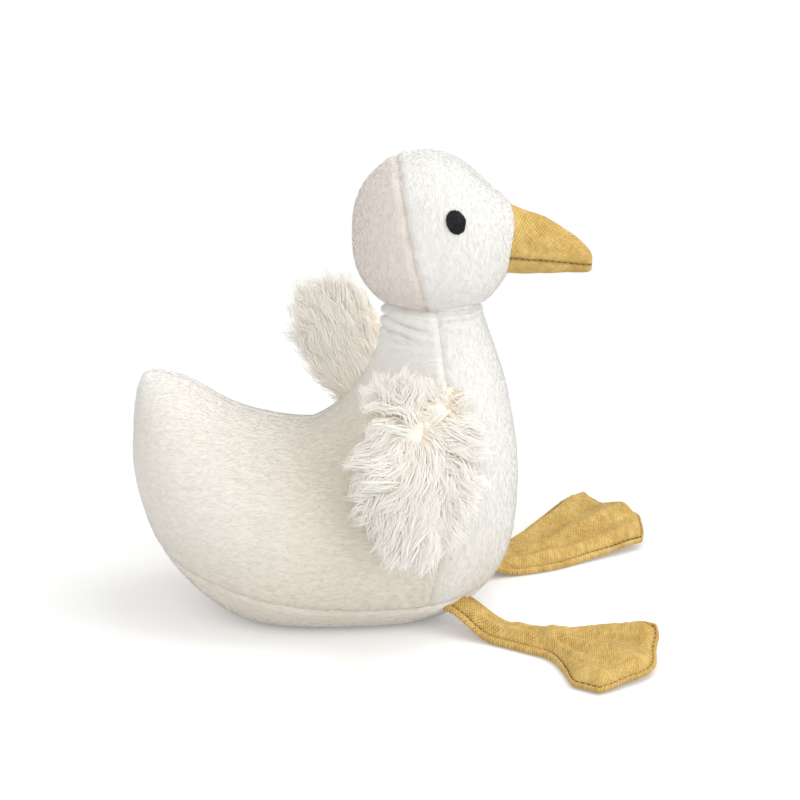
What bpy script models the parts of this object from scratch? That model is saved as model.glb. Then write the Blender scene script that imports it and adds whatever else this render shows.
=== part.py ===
"""A sitting plush goose, sewn from pile cloth and linen over a fibre filling.

The goose faces +X and its own left side is +Y. The origin is the middle of
the flat seat under the belly. All sizes are in metres.
"""

import math
from typing import NamedTuple

import bmesh
import bpy
from mathutils import Matrix, Vector
from mathutils.bvhtree import BVHTree

MM = 0.001

# Cloths, seams and clearances
PILE_CLOTH = 1.5 * MM
LINEN_CLOTH = 0.9 * MM
SEAM_GAP = 0.4 * MM
CLEARANCE = 0.3 * MM

# Body: a boat shape with a raised tail, a saddle and a full chest
BODY_WIDTH = 77 * MM
TAIL_REACH = 74 * MM
TAIL_HEIGHT = 79 * MM
TAIL_TIP_WIDTH = 7 * MM
SADDLE_X = -18 * MM
SADDLE_HEIGHT = 62.5 * MM
TAIL_LEAN = 2 * MM
STERN_HEIGHT = 46 * MM
CHEST_REACH = 49.3 * MM
CHEST_HEIGHT = 33 * MM
SEAT_BACK = -30 * MM
SEAT_FRONT = 14 * MM
BELLY_DROP = 5 * MM
STERN_FULLNESS = 1.72
CHEST_FULLNESS = 1.9
NECK_DEPTH = 30 * MM
NECK_WIDTH = 29 * MM
NECK_X = 20 * MM
BODY_SIDES = 10
BODY_LOW_WEIGHT = 0.2

# Seams of the body, as they run in profile
BELLY_SEAM_HEIGHT = 10.2 * MM
BELLY_SEAM_LOWEST_X = 5 * MM
BELLY_SEAM_RISE_AFT = 18 * MM
BELLY_SEAM_RISE_FORE = 2.2 * MM
SIDE_SEAM_TOP_X = 21.5 * MM
SIDE_SEAM_FOOT_X = 19 * MM
SIDE_SEAM_BOW = 5 * MM
SEAM_POINTS = 6

# Head: a ball that overhangs the neck
HEAD_DEPTH = 50.5 * MM
HEAD_WIDTH = 49 * MM
HEAD_HEIGHT = 50.5 * MM
HEAD_X = 20.5 * MM
NECK_SEAM_HEIGHT = 99.5 * MM
HEAD_OVERHANG = 2 * MM
HEAD_FULLNESS = 2.25
FOREHEAD_SLOPE = 4.3 * MM
HEAD_SEAM_FOOT_X = 18.5 * MM
HEAD_SEAM_CROWN_X = 8.3 * MM
HEAD_SEAM_BOW = -1 * MM
HEAD_SEGMENTS = 20
HEAD_RINGS = 12

# Beak: a linen cone with its seam low on its sides
BEAK_HEIGHT = 20 * MM
BEAK_LENGTH = 25 * MM
BEAK_ROOT_HEIGHT = 20.5 * MM
BEAK_ROOT_WIDTH = 16.5 * MM
BEAK_TIP_HEIGHT = 5.4 * MM
BEAK_TIP_WIDTH = 6 * MM
BEAK_DROP = 7 * MM
BEAK_SEAM_HEIGHT = 5 * MM
BEAK_SIDES = 10
BEAK_LOW_WEIGHT = 0.12

# Eyes: ovals of satin stitch
EYE_WIDTH = 5.9 * MM
EYE_HEIGHT = 8 * MM
EYE_THICKNESS = 0.6 * MM
EYE_FORWARD = 6 * MM
EYE_RISE = 7 * MM
EYE_SEGMENTS = 16

# Feet: webbed linen feet, each on a flat leg
LEG_ROOT_X = 27 * MM
LEG_ROOT_Y = 21 * MM
LEG_ROOT_HEIGHT = 8.5 * MM
LEG_WIDTH = 14 * MM
FOOT_WIDTH = 40 * MM
FOOT_PUFF = 2.6 * MM
FOOT_REST = 0.2 * MM
WADDING_FILL = 0.45
WADDING_LIFT = 0.2 * MM
STITCH_MARGIN = 2.4 * MM
INNER_SPREAD = (0.02, 0.72)
OUTER_SPREAD = (0.22, 0.88)
TOE_NOTCH = 4.5 * MM
TOE_FOLD = 1.1 * MM
RIGHT_FOOT_REACH = 66 * MM
LEFT_FOOT_REACH = 76 * MM
RIGHT_INNER_LIFT = 6 * MM
RIGHT_MIDDLE_LIFT = 1 * MM
LEFT_INNER_LIFT = 1 * MM
LEFT_MIDDLE_LIFT = 6 * MM
LEFT_OUTER_LIFT = 8 * MM
FOOT_SPLAY = math.radians(33)
FOOT_ROWS = 11
FOOT_COLUMNS = 9

# Wings: two layers of long fur on each
WING_LENGTH = 56 * MM
WING_WIDTH = 36 * MM
WING_THICKNESS = 13 * MM
WING_EDGE = 1.2 * MM
WING_LOCK_DEPTH = 1.6 * MM
WING_ARCH = 5 * MM
WING_WRAP = 7 * MM
WING_ROOT_X = 15.5 * MM
WING_ROOT_HEIGHT = 81 * MM
LEFT_WING_BACK = 10 * MM
LEFT_WING_DROP = 32 * MM
LEFT_WING_CURL = 6 * MM
LEFT_WING_UP = Vector((-0.40, 0.22, 0.88))
LEFT_WING_FORWARD = Vector((0.92, 0.1, 0.4))
WING_ROWS = 10
WING_COLUMNS = 9

CREAM = (0.90, 0.87, 0.81)
FUR_WHITE = (0.92, 0.89, 0.84)
MUSTARD = (0.56, 0.34, 0.07)
BLACK = (0.01, 0.01, 0.01)
FIBRE = (0.93, 0.93, 0.92)


class Station(NamedTuple):
    """One cross-section of the body: its top and bottom in profile, and its half width."""

    top: tuple
    bottom: tuple
    half_width: float


class FootShape(NamedTuple):
    """What differs between the two feet as they lie."""

    side: int
    reach: float
    inner_lift: float
    middle_lift: float
    outer_lift: float


RIGHT_FOOT = FootShape(-1, RIGHT_FOOT_REACH, RIGHT_INNER_LIFT, RIGHT_MIDDLE_LIFT, 0)
LEFT_FOOT = FootShape(1, LEFT_FOOT_REACH, LEFT_INNER_LIFT, LEFT_MIDDLE_LIFT, LEFT_OUTER_LIFT)


def clear_scene():
    """Remove every object and collection of the start-up scene."""
    for item in list(bpy.data.objects):
        bpy.data.objects.remove(item)
    for collection in list(bpy.data.collections):
        bpy.data.collections.remove(collection)


def new_collection(name):
    """Make a collection in the scene."""
    collection = bpy.data.collections.new(name)
    bpy.context.scene.collection.children.link(collection)
    return collection


def new_material(name, colour, roughness, sheen=0.0):
    """Make a cloth material."""
    material = bpy.data.materials.new(name)
    material.use_nodes = True
    shader = material.node_tree.nodes["Principled BSDF"]
    shader.inputs["Base Color"].default_value = (*colour, 1.0)
    shader.inputs["Roughness"].default_value = roughness
    shader.inputs["Metallic"].default_value = 0.0
    shader.inputs["Sheen Weight"].default_value = sheen
    material.diffuse_color = (*colour, 1.0)
    return material


def mesh_object(name, bm, collection):
    """Turn a bmesh into an object, with its faces pointing out."""
    bmesh.ops.recalc_face_normals(bm, faces=bm.faces)
    mesh = bpy.data.meshes.new(name)
    bm.to_mesh(mesh)
    bm.free()
    item = bpy.data.objects.new(name, mesh)
    collection.objects.link(item)
    return item


def tool_object(name, bm):
    """Make a cutter: an object that is only shown as wire."""
    item = mesh_object(name, bm, bpy.data.collections["cutters"])
    item.hide_render = True
    item.display_type = "WIRE"
    return item


def bake(item):
    """Replace an object's mesh by what its modifiers make of it."""
    depsgraph = bpy.context.evaluated_depsgraph_get()
    baked = bpy.data.meshes.new_from_object(item.evaluated_get(depsgraph))
    old = item.data
    item.modifiers.clear()
    item.data = baked
    bpy.data.meshes.remove(old)


def boolean(target, tool, operation):
    """Cut, join or intersect one object with another."""
    modifier = target.modifiers.new("Boolean", "BOOLEAN")
    modifier.operation = operation
    modifier.solver = "EXACT"
    modifier.object = tool
    bake(target)


def subdivided(item, levels):
    """Round a coarse cage with Subdivision Surface."""
    modifier = item.modifiers.new("Subdivision", "SUBSURF")
    modifier.levels = levels
    modifier.render_levels = levels
    bake(item)


def shrink(item, inset):
    """Move every point of a closed surface inwards by the inset."""
    if inset == 0:
        return
    bm = bmesh.new()
    bm.from_mesh(item.data)
    bm.normal_update()
    moves = [(vertex, vertex.normal * inset) for vertex in bm.verts]
    for vertex, move in moves:
        vertex.co -= move
    bm.to_mesh(item.data)
    bm.free()


def body_stations():
    """The body's cross-sections, from the tail's tip round the saddle and up the neck.

    The tail ones spread between the back line and the stern, those of the belly
    fan round the saddle, and the last ones climb the neck into the head.
    """
    half = BODY_WIDTH / 2
    neck_half = NECK_WIDTH / 2
    neck_back = NECK_X - NECK_DEPTH / 2
    neck_front = NECK_X + NECK_DEPTH / 2

    def back(share):
        """A point on the concave line from the saddle back to the tail."""
        run = TAIL_REACH + SADDLE_X
        rise = TAIL_HEIGHT - SADDLE_HEIGHT
        return (SADDLE_X - run * share, SADDLE_HEIGHT + rise * share ** 1.5)

    def stern(share):
        """A point on the tail's end, from its farthest reach up to its tip."""
        rise = TAIL_HEIGHT - STERN_HEIGHT
        return (-TAIL_REACH - TAIL_LEAN * (0.5 - share), STERN_HEIGHT + rise * share)

    def keel(share, seat_x, reach_x, reach_height, fullness):
        """A point on the round underside, from the seat out to the stern or the chest."""
        angle = share * math.pi / 2
        out = math.sin(angle) ** (2 / fullness)
        down = math.cos(angle) ** (2 / fullness)
        return (seat_x + (reach_x - seat_x) * out, reach_height - (reach_height + BELLY_DROP) * down)

    def keel_aft(share):
        """The underside behind the seat."""
        return keel(share, SEAT_BACK, stern(0)[0], STERN_HEIGHT, STERN_FULLNESS)

    def keel_fore(share):
        """The underside in front of the seat."""
        return keel(share, SEAT_FRONT, CHEST_REACH, CHEST_HEIGHT, CHEST_FULLNESS)

    def nape(share):
        """A point on the line from the saddle up the back of the neck."""
        run = neck_back - SADDLE_X
        rise = NECK_SEAM_HEIGHT - SADDLE_HEIGHT
        return (SADDLE_X + run * (1 - (1 - share) ** 2.2), SADDLE_HEIGHT + rise * share ** 1.15)

    def breast(share):
        """A point on the line from the chest's farthest reach up the throat."""
        run = CHEST_REACH - neck_front
        rise = NECK_SEAM_HEIGHT - CHEST_HEIGHT
        return (CHEST_REACH - run * share ** 2.35, CHEST_HEIGHT + rise * share)

    def neck(share):
        """A cross-section of the neck, from the seam up into the head."""
        height = NECK_SEAM_HEIGHT + HEAD_HEIGHT * share
        return Station((neck_back, height), (neck_front, height), neck_half * (1 - share / 2))

    return [
        Station(back(0.97), stern(0.76), TAIL_TIP_WIDTH / 2),
        Station(back(0.84), stern(0.42), half * 0.27),
        Station(back(0.66), stern(0.0), half * 0.50),
        Station(back(0.48), keel_aft(0.72), half * 0.71),
        Station(back(0.30), keel_aft(0.48), half * 0.86),
        Station(back(0.14), keel_aft(0.25), half * 0.95),
        Station(back(0.0), keel_aft(0.0), half),
        Station(nape(0.05), ((SEAT_BACK + SEAT_FRONT) / 2, -BELLY_DROP), half),
        Station(nape(0.12), keel_fore(0.0), half * 0.99),
        Station(nape(0.20), keel_fore(0.38), half * 0.96),
        Station(nape(0.30), keel_fore(0.68), half * 0.90),
        Station(nape(0.42), keel_fore(1.0), half * 0.80),
        Station(nape(0.56), breast(0.37), half * 0.67),
        Station(nape(0.72), breast(0.61), half * 0.53),
        Station(nape(0.88), breast(0.83), neck_half * 1.08),
        neck(0.02),
        neck(0.16),
    ]


def loft(bm, rings):
    """Skin rings of points with quads, and close both ends."""
    loops = [[bm.verts.new(point) for point in ring] for ring in rings]
    count = len(rings[0])
    for first, second in zip(loops, loops[1:]):
        for index in range(count):
            following = (index + 1) % count
            bm.faces.new((first[index], first[following], second[following], second[index]))
    bm.faces.new(loops[0])
    bm.faces.new(reversed(loops[-1]))


def station_ring(station, sides, low_weight):
    """The points of one cross-section, fuller below its middle by the low weight.

    The ring is opened a little, because Subdivision Surface draws it in.
    """
    grow = 3 / (2 + math.cos(2 * math.pi / sides))
    top = Vector((station.top[0], 0, station.top[1]))
    bottom = Vector((station.bottom[0], 0, station.bottom[1]))
    middle = (top + bottom) / 2
    upward = (top - bottom) / 2
    points = []
    for index in range(sides):
        angle = 2 * math.pi * index / sides
        width = station.half_width * math.sin(angle) * (1 - low_weight * math.cos(angle))
        points.append(middle + (upward * math.cos(angle) + Vector((0, width, 0))) * grow)
    return points


def body_form(inset):
    """The closed body with its neck, drawn in by the inset."""
    bm = bmesh.new()
    loft(bm, [station_ring(station, BODY_SIDES, BODY_LOW_WEIGHT) for station in body_stations()])
    item = tool_object("body_form", bm)
    subdivided(item, 1)
    shrink(item, inset)
    return item


def head_centre():
    """The middle of the head's ball."""
    return Vector((HEAD_X, 0, NECK_SEAM_HEIGHT - HEAD_OVERHANG + HEAD_HEIGHT / 2))


def head_form(inset):
    """The head's ball, a little square in profile and flatter above the beak."""
    bm = bmesh.new()
    bmesh.ops.create_uvsphere(bm, u_segments=HEAD_SEGMENTS, v_segments=HEAD_RINGS, radius=1)
    forehead = Vector((0.72, 0, 0.69))
    for vertex in bm.verts:
        direction = vertex.co.normalized()
        flat = math.hypot(direction.x, direction.y)
        power = (flat ** HEAD_FULLNESS + abs(direction.z) ** HEAD_FULLNESS) ** (1 / HEAD_FULLNESS)
        ball = direction / power
        slope = max(0.0, direction.dot(forehead)) ** 6 * FOREHEAD_SLOPE
        vertex.co = head_centre() + Vector(
            (ball.x * HEAD_DEPTH / 2, ball.y * HEAD_WIDTH / 2, ball.z * HEAD_HEIGHT / 2)
        ) - direction * slope
    item = tool_object("head_form", bm)
    shrink(item, inset)
    return item


def block(name, low, high):
    """A plain box between two corners."""
    bm = bmesh.new()
    bmesh.ops.create_cube(bm, size=1)
    size = Vector(high) - Vector(low)
    bmesh.ops.scale(bm, vec=size, verts=bm.verts)
    bmesh.ops.translate(bm, vec=(Vector(low) + Vector(high)) / 2, verts=bm.verts)
    return tool_object(name, bm)


def goose_form(inset):
    """The body and head as one closed form, cut flat where the goose sits."""
    form = body_form(inset)
    ball = head_form(inset)
    boolean(form, ball, "UNION")
    bpy.data.objects.remove(ball)
    reach = 4 * TAIL_REACH
    floor = block("floor_cut", (-reach, -reach, -reach), (reach, reach, max(inset, 0.0)))
    if inset >= 0:
        boolean(form, floor, "DIFFERENCE")
    bpy.data.objects.remove(floor)
    return form


def blade(name, line, half_width):
    """A thin wall across the goose along a line in its profile, which cuts a seam's gap."""
    bm = bmesh.new()
    rows = []
    for x, z in line:
        rows.append((bm.verts.new((x, -half_width, z)), bm.verts.new((x, half_width, z))))
    for first, second in zip(rows, rows[1:]):
        bm.faces.new((first[0], first[1], second[1], second[0]))
    item = tool_object(name, bm)
    wall = item.modifiers.new("Solidify", "SOLIDIFY")
    wall.thickness = SEAM_GAP
    wall.offset = 0
    wall.use_even_offset = True
    bake(item)
    return item


def midline_blade(name, outline):
    """A thin wall on the middle plane, inside an outline in the profile."""
    bm = bmesh.new()
    face = bm.faces.new([bm.verts.new((x, -SEAM_GAP / 2, z)) for x, z in outline])
    wall = bmesh.ops.extrude_face_region(bm, geom=[face])
    moved = [part for part in wall["geom"] if isinstance(part, bmesh.types.BMVert)]
    bmesh.ops.translate(bm, vec=(0, SEAM_GAP, 0), verts=moved)
    return tool_object(name, bm)


def belly_seam_height(x):
    """How high the belly seam runs at a place along the body."""
    aft = (BELLY_SEAM_LOWEST_X - x) / (BELLY_SEAM_LOWEST_X + TAIL_REACH)
    fore = (x - BELLY_SEAM_LOWEST_X) / (CHEST_REACH - BELLY_SEAM_LOWEST_X)
    rise = BELLY_SEAM_RISE_AFT * max(aft, 0) ** 1.9 + BELLY_SEAM_RISE_FORE * max(fore, 0) ** 1.5
    return BELLY_SEAM_HEIGHT + rise


def belly_seam(start_x, end_x):
    """The belly panel's edge in profile, between two places along the body."""
    shares = [index / (2 * SEAM_POINTS) for index in range(2 * SEAM_POINTS + 1)]
    places = [start_x + (end_x - start_x) * share for share in shares]
    return [(x, belly_seam_height(x)) for x in places]


def bowed_line(start, end, bow):
    """A line in profile from start to end that bows forward by the bow."""
    line = []
    for index in range(SEAM_POINTS):
        share = index / (SEAM_POINTS - 1)
        x = start[0] + (end[0] - start[0]) * share + bow * math.sin(math.pi * share)
        line.append((x, start[1] + (end[1] - start[1]) * share))
    return line


def side_seam():
    """The seam between chest and side, from the neck down to the belly seam."""
    foot = (SIDE_SEAM_FOOT_X, belly_seam_height(SIDE_SEAM_FOOT_X))
    return bowed_line((SIDE_SEAM_TOP_X, NECK_SEAM_HEIGHT), foot, SIDE_SEAM_BOW)


def head_seam():
    """The seam over the head from ear to ear, leaning forward as it goes down."""
    crown = NECK_SEAM_HEIGHT + HEAD_HEIGHT * 1.08
    foot = (HEAD_SEAM_FOOT_X, NECK_SEAM_HEIGHT)
    return bowed_line(foot, (HEAD_SEAM_CROWN_X, crown), HEAD_SEAM_BOW)


def islands(item):
    """Split an object's mesh into one new bmesh for each loose body."""
    bm = bmesh.new()
    bm.from_mesh(item.data)
    waiting = set(bm.verts)
    groups = []
    while waiting:
        seed = waiting.pop()
        group = {seed}
        edge = [seed]
        while edge:
            vertex = edge.pop()
            for link in vertex.link_edges:
                other = link.other_vert(vertex)
                if other in waiting:
                    waiting.remove(other)
                    group.add(other)
                    edge.append(other)
        groups.append(group)
    parts = []
    for group in groups:
        part = bm.copy()
        part.verts.ensure_lookup_table()
        keep = {vertex.index for vertex in group}
        drop = [vertex for vertex in part.verts if vertex.index not in keep]
        bmesh.ops.delete(part, geom=drop, context="VERTS")
        parts.append(part)
    bm.free()
    return parts


def nearest_part(parts, probe):
    """The loose body that comes nearest to a point."""
    def distance(part):
        """How far a body's nearest corner is."""
        return min((vertex.co - probe).length for vertex in part.verts)

    return min(parts, key=distance)


def finish_part(item, material):
    """Give a part its material and soft shading."""
    item.data.materials.clear()
    item.data.materials.append(material)
    item.data.shade_smooth()
    item.data.set_sharp_from_angle(angle=math.radians(50))


def make_skin(parts, pile):
    """Cut the goose's shell along its seams into the panels that it is sewn from."""
    shell = goose_form(0)
    hollow = goose_form(PILE_CLOTH)
    boolean(shell, hollow, "DIFFERENCE")
    bpy.data.objects.remove(hollow)

    astern = -TAIL_REACH - BODY_WIDTH / 4
    ahead = CHEST_REACH + BODY_WIDTH / 4
    head_back = HEAD_X - HEAD_DEPTH
    head_front = HEAD_X + HEAD_DEPTH
    head_top = NECK_SEAM_HEIGHT + HEAD_HEIGHT * 1.2
    neck_line = [(astern, NECK_SEAM_HEIGHT), (ahead, NECK_SEAM_HEIGHT)]
    head_outline = [
        (head_back, NECK_SEAM_HEIGHT),
        (head_front, NECK_SEAM_HEIGHT),
        (head_front, head_top),
        (head_back, head_top),
    ]
    rear_outline = belly_seam(astern, SIDE_SEAM_FOOT_X) + side_seam()[-2::-1]
    rear_outline.append((astern, NECK_SEAM_HEIGHT))
    blades = [
        midline_blade("head_midline_blade", head_outline),
        blade("neck_blade", neck_line, BODY_WIDTH),
        blade("belly_blade", belly_seam(astern, ahead), BODY_WIDTH),
        blade("side_blade", side_seam(), BODY_WIDTH),
        blade("head_blade", head_seam(), BODY_WIDTH),
        midline_blade("rear_midline_blade", rear_outline),
    ]
    for cutter in blades:
        boolean(shell, cutter, "DIFFERENCE")

    across = HEAD_WIDTH / 6
    probes = {
        "face_panel_left": Vector((HEAD_X + HEAD_DEPTH / 2, across, head_centre().z)),
        "face_panel_right": Vector((HEAD_X + HEAD_DEPTH / 2, -across, head_centre().z)),
        "head_back_panel_left": Vector((HEAD_X - HEAD_DEPTH / 2, across, head_centre().z)),
        "head_back_panel_right": Vector((HEAD_X - HEAD_DEPTH / 2, -across, head_centre().z)),
        "chest_panel": Vector((CHEST_REACH, 0, CHEST_HEIGHT)),
        "side_panel_left": Vector((-TAIL_REACH / 2, BODY_WIDTH / 2, STERN_HEIGHT)),
        "side_panel_right": Vector((-TAIL_REACH / 2, -BODY_WIDTH / 2, STERN_HEIGHT)),
        "belly_panel": Vector((0, 0, 0)),
    }
    loose = islands(shell)
    for name, probe in probes.items():
        item = mesh_object(name, nearest_part(loose, probe).copy(), parts)
        finish_part(item, pile)
    for part in loose:
        part.free()
    bpy.data.objects.remove(shell)


def make_stuffing(parts, fibre):
    """The fibre filling of the body, neck and head, which is one mass."""
    item = goose_form(PILE_CLOTH + CLEARANCE)
    item.name = "stuffing"
    item.hide_render = False
    item.display_type = "TEXTURED"
    bpy.data.collections["cutters"].objects.unlink(item)
    parts.objects.link(item)
    finish_part(item, fibre)


def beak_form(inset):
    """The closed beak, from inside the head to its blunt tip."""
    root_x = HEAD_X + HEAD_DEPTH / 2
    tip_x = root_x + BEAK_LENGTH
    middle = NECK_SEAM_HEIGHT + BEAK_HEIGHT
    root_top = middle + BEAK_ROOT_HEIGHT / 2
    root_bottom = middle - BEAK_ROOT_HEIGHT / 2
    tip_middle = middle - BEAK_DROP

    def section(share, half_share):
        """A cross-section part of the way along."""
        top_z = root_top + (tip_middle + BEAK_TIP_HEIGHT / 2 - root_top) * share
        bottom_z = root_bottom + (tip_middle - BEAK_TIP_HEIGHT / 2 - root_bottom) * max(share, 0) ** 1.6
        x = root_x + (tip_x - root_x) * share
        half = BEAK_ROOT_WIDTH / 2 + (BEAK_TIP_WIDTH - BEAK_ROOT_WIDTH) / 2 * half_share
        return Station((x, top_z), (x, bottom_z), half)

    stations = [
        section(-0.3, -0.1),
        section(0.0, 0.0),
        section(0.3, 0.24),
        section(0.6, 0.56),
        section(0.85, 0.84),
        section(0.97, 1.0),
    ]
    bm = bmesh.new()
    loft(bm, [station_ring(station, BEAK_SIDES, BEAK_LOW_WEIGHT) for station in stations])
    item = tool_object("beak_form", bm)
    subdivided(item, 1)
    shrink(item, inset)
    return item


def make_beak(parts, linen, fibre, head_cut):
    """The beak's two linen panels and the filling inside them, seated on the head."""
    shell = beak_form(0)
    hollow = beak_form(LINEN_CLOTH)
    boolean(shell, hollow, "DIFFERENCE")
    bpy.data.objects.remove(hollow)
    boolean(shell, head_cut, "DIFFERENCE")
    root_x = HEAD_X + HEAD_DEPTH / 2
    middle = NECK_SEAM_HEIGHT + BEAK_HEIGHT
    seam_root = middle - BEAK_ROOT_HEIGHT / 2 + BEAK_SEAM_HEIGHT
    seam_tip = middle - BEAK_DROP - BEAK_TIP_HEIGHT * 0.15
    line = [
        (root_x - HEAD_DEPTH / 4, seam_root),
        (root_x, seam_root),
        (root_x + BEAK_LENGTH, seam_tip),
        (root_x + BEAK_LENGTH + BEAK_TIP_HEIGHT, seam_tip),
    ]
    cutter = blade("beak_blade", line, BEAK_ROOT_WIDTH)
    boolean(shell, cutter, "DIFFERENCE")
    loose = islands(shell)
    probe_x = root_x + BEAK_LENGTH * 0.4
    probes = {
        "beak_upper": Vector((probe_x, 0, seam_root + BEAK_ROOT_HEIGHT)),
        "beak_lower": Vector((probe_x, 0, seam_root - BEAK_ROOT_HEIGHT)),
    }
    for name, probe in probes.items():
        item = mesh_object(name, nearest_part(loose, probe).copy(), parts)
        finish_part(item, linen)
    for part in loose:
        part.free()
    bpy.data.objects.remove(shell)

    filling = beak_form(LINEN_CLOTH + CLEARANCE)
    boolean(filling, head_cut, "DIFFERENCE")
    filling.name = "beak_stuffing"
    filling.hide_render = False
    filling.display_type = "TEXTURED"
    bpy.data.collections["cutters"].objects.unlink(filling)
    parts.objects.link(filling)
    finish_part(filling, fibre)


def make_eye(parts, side, thread, head_cut):
    """An oval of satin stitch that follows the head's curve."""
    centre = head_centre() + Vector((EYE_FORWARD, 0, EYE_RISE))
    tree = BVHTree.FromObject(head_cut, bpy.context.evaluated_depsgraph_get())
    outside = centre + Vector((0, side * HEAD_WIDTH, 0))
    hit, normal, _index, _distance = tree.ray_cast(outside, Vector((0, -side, 0)))
    bm = bmesh.new()
    bmesh.ops.create_cone(
        bm,
        cap_ends=True,
        segments=EYE_SEGMENTS,
        radius1=0.5,
        radius2=0.5,
        depth=HEAD_WIDTH / 4,
    )
    bmesh.ops.scale(bm, vec=(EYE_WIDTH, EYE_HEIGHT, 1), verts=bm.verts)
    outward = normal.normalized()
    up = (Vector((0, 0, 1)) - outward * outward.z).normalized()
    across = up.cross(outward)
    turn = Matrix((across, up, outward)).transposed()
    bmesh.ops.rotate(bm, matrix=turn, verts=bm.verts)
    bmesh.ops.translate(bm, vec=hit, verts=bm.verts)
    item = mesh_object("eye_left" if side > 0 else "eye_right", bm, parts)
    cover = head_form(-CLEARANCE - EYE_THICKNESS)
    boolean(item, cover, "INTERSECT")
    boolean(item, head_cut, "DIFFERENCE")
    bpy.data.objects.remove(cover)
    finish_part(item, thread)


def slab(name, low, high, collection):
    """A closed solid between two grids of points, the low one under the high one."""
    bm = bmesh.new()
    under = [[bm.verts.new(point) for point in row] for row in low]
    over = [[bm.verts.new(point) for point in row] for row in high]
    rows = len(low)
    columns = len(low[0])
    for row in range(rows - 1):
        for column in range(columns - 1):
            for grid in (under, over):
                bm.faces.new((
                    grid[row][column],
                    grid[row + 1][column],
                    grid[row + 1][column + 1],
                    grid[row][column + 1],
                ))
    border = [(0, column) for column in range(columns)]
    border += [(row, columns - 1) for row in range(1, rows)]
    border += [(rows - 1, column) for column in range(columns - 2, -1, -1)]
    border += [(row, 0) for row in range(rows - 2, 0, -1)]
    for first, second in zip(border, border[1:] + border[:1]):
        bm.faces.new((
            under[first[0]][first[1]],
            under[second[0]][second[1]],
            over[second[0]][second[1]],
            over[first[0]][first[1]],
        ))
    return mesh_object(name, bm, collection)


def smooth_step(value):
    """Rise smoothly from 0 to 1 as the value does."""
    value = min(1.0, max(0.0, value))
    return value * value * (3 - 2 * value)


def foot_half_width(along, across):
    """Half the width of a foot, from the leg's strip out to the toes.

    The edge that faces the other foot spreads earlier than the outer edge.
    """
    start, end = OUTER_SPREAD if across > 0 else INNER_SPREAD
    spread = smooth_step((along - start) / (end - start))
    return LEG_WIDTH / 2 + (FOOT_WIDTH - LEG_WIDTH) / 2 * spread


def foot_point(foot, along, across, height):
    """A point of a foot in place. along runs from root to toes and across from -1 to 1.

    across is -1 on the edge that faces the other foot. The notches between the
    three toes fade in over the foot's last third.
    """
    half_width = foot_half_width(along, across)
    toe = smooth_step((along - 0.66) / 0.34)
    notch = TOE_NOTCH * (0.5 - 0.5 * math.cos(2 * math.pi * across)) ** 1.5 * toe
    rounding = 0.09 * foot.reach * across ** 2 * toe
    length = along * foot.reach - notch - rounding
    heading = foot.side * FOOT_SPLAY
    forward = Vector((math.cos(heading), math.sin(heading), 0))
    outward = Vector((-math.sin(heading), math.cos(heading), 0)) * foot.side
    root = Vector((LEG_ROOT_X, foot.side * LEG_ROOT_Y, 0))
    return root + forward * length + outward * half_width * across + Vector((0, 0, height))


def foot_middle(foot, along, across):
    """The height of a foot's seam, which comes down from the body to the floor."""
    rest = FOOT_REST + LINEN_CLOTH + CLEARANCE / 2
    fall = (LEG_ROOT_HEIGHT - rest) * (1 - smooth_step((along - 0.12) / 0.38))
    tip = smooth_step((along - 0.55) / 0.45)
    inner = foot.inner_lift * max(0.0, -across) ** 1.5
    outer = foot.outer_lift * max(0.0, across) ** 1.5
    middle = foot.middle_lift * (1 - across ** 2)
    return rest + fall + tip * (inner + outer + middle)


def foot_puff(foot, along, across):
    """How far the padded foot swells over its seam, with a fold up to each notch."""
    from_edge = foot_half_width(along, across) * (1 - abs(across))
    from_toe = foot.reach * (1 - along)
    window = smooth_step((from_edge - STITCH_MARGIN) / STITCH_MARGIN)
    window *= smooth_step((from_toe - STITCH_MARGIN) / STITCH_MARGIN)
    fold = TOE_FOLD * (0.5 - 0.5 * math.cos(2 * math.pi * across)) * smooth_step(along / 0.7)
    return window * max(0.0, FOOT_PUFF - fold)


def foot_grid(foot, alongs, acrosses, offset):
    """A grid of foot points at the seam's height plus an offset for each point."""
    rows = []
    for along in alongs:
        row = []
        for across in acrosses:
            height = foot_middle(foot, along, across) + offset(along, across)
            row.append(foot_point(foot, along, across, height))
        rows.append(row)
    return rows


def make_wadding(parts, name, foot, alongs, acrosses):
    """The wadding, which stays inside the stitching and fills part of the puff.

    It takes its rows and columns from the upper panel's, so that it lies under it.
    """
    def under(along, across):
        """The wadding's bottom."""
        return WADDING_LIFT

    def over(along, across):
        """The wadding's top."""
        return WADDING_LIFT + WADDING_FILL * foot_puff(foot, along, across)

    inner_alongs = alongs[:-1]
    inner_acrosses = acrosses[2:-2]
    return slab(
        name,
        foot_grid(foot, inner_alongs, inner_acrosses, under),
        foot_grid(foot, inner_alongs, inner_acrosses, over),
        parts,
    )


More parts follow.
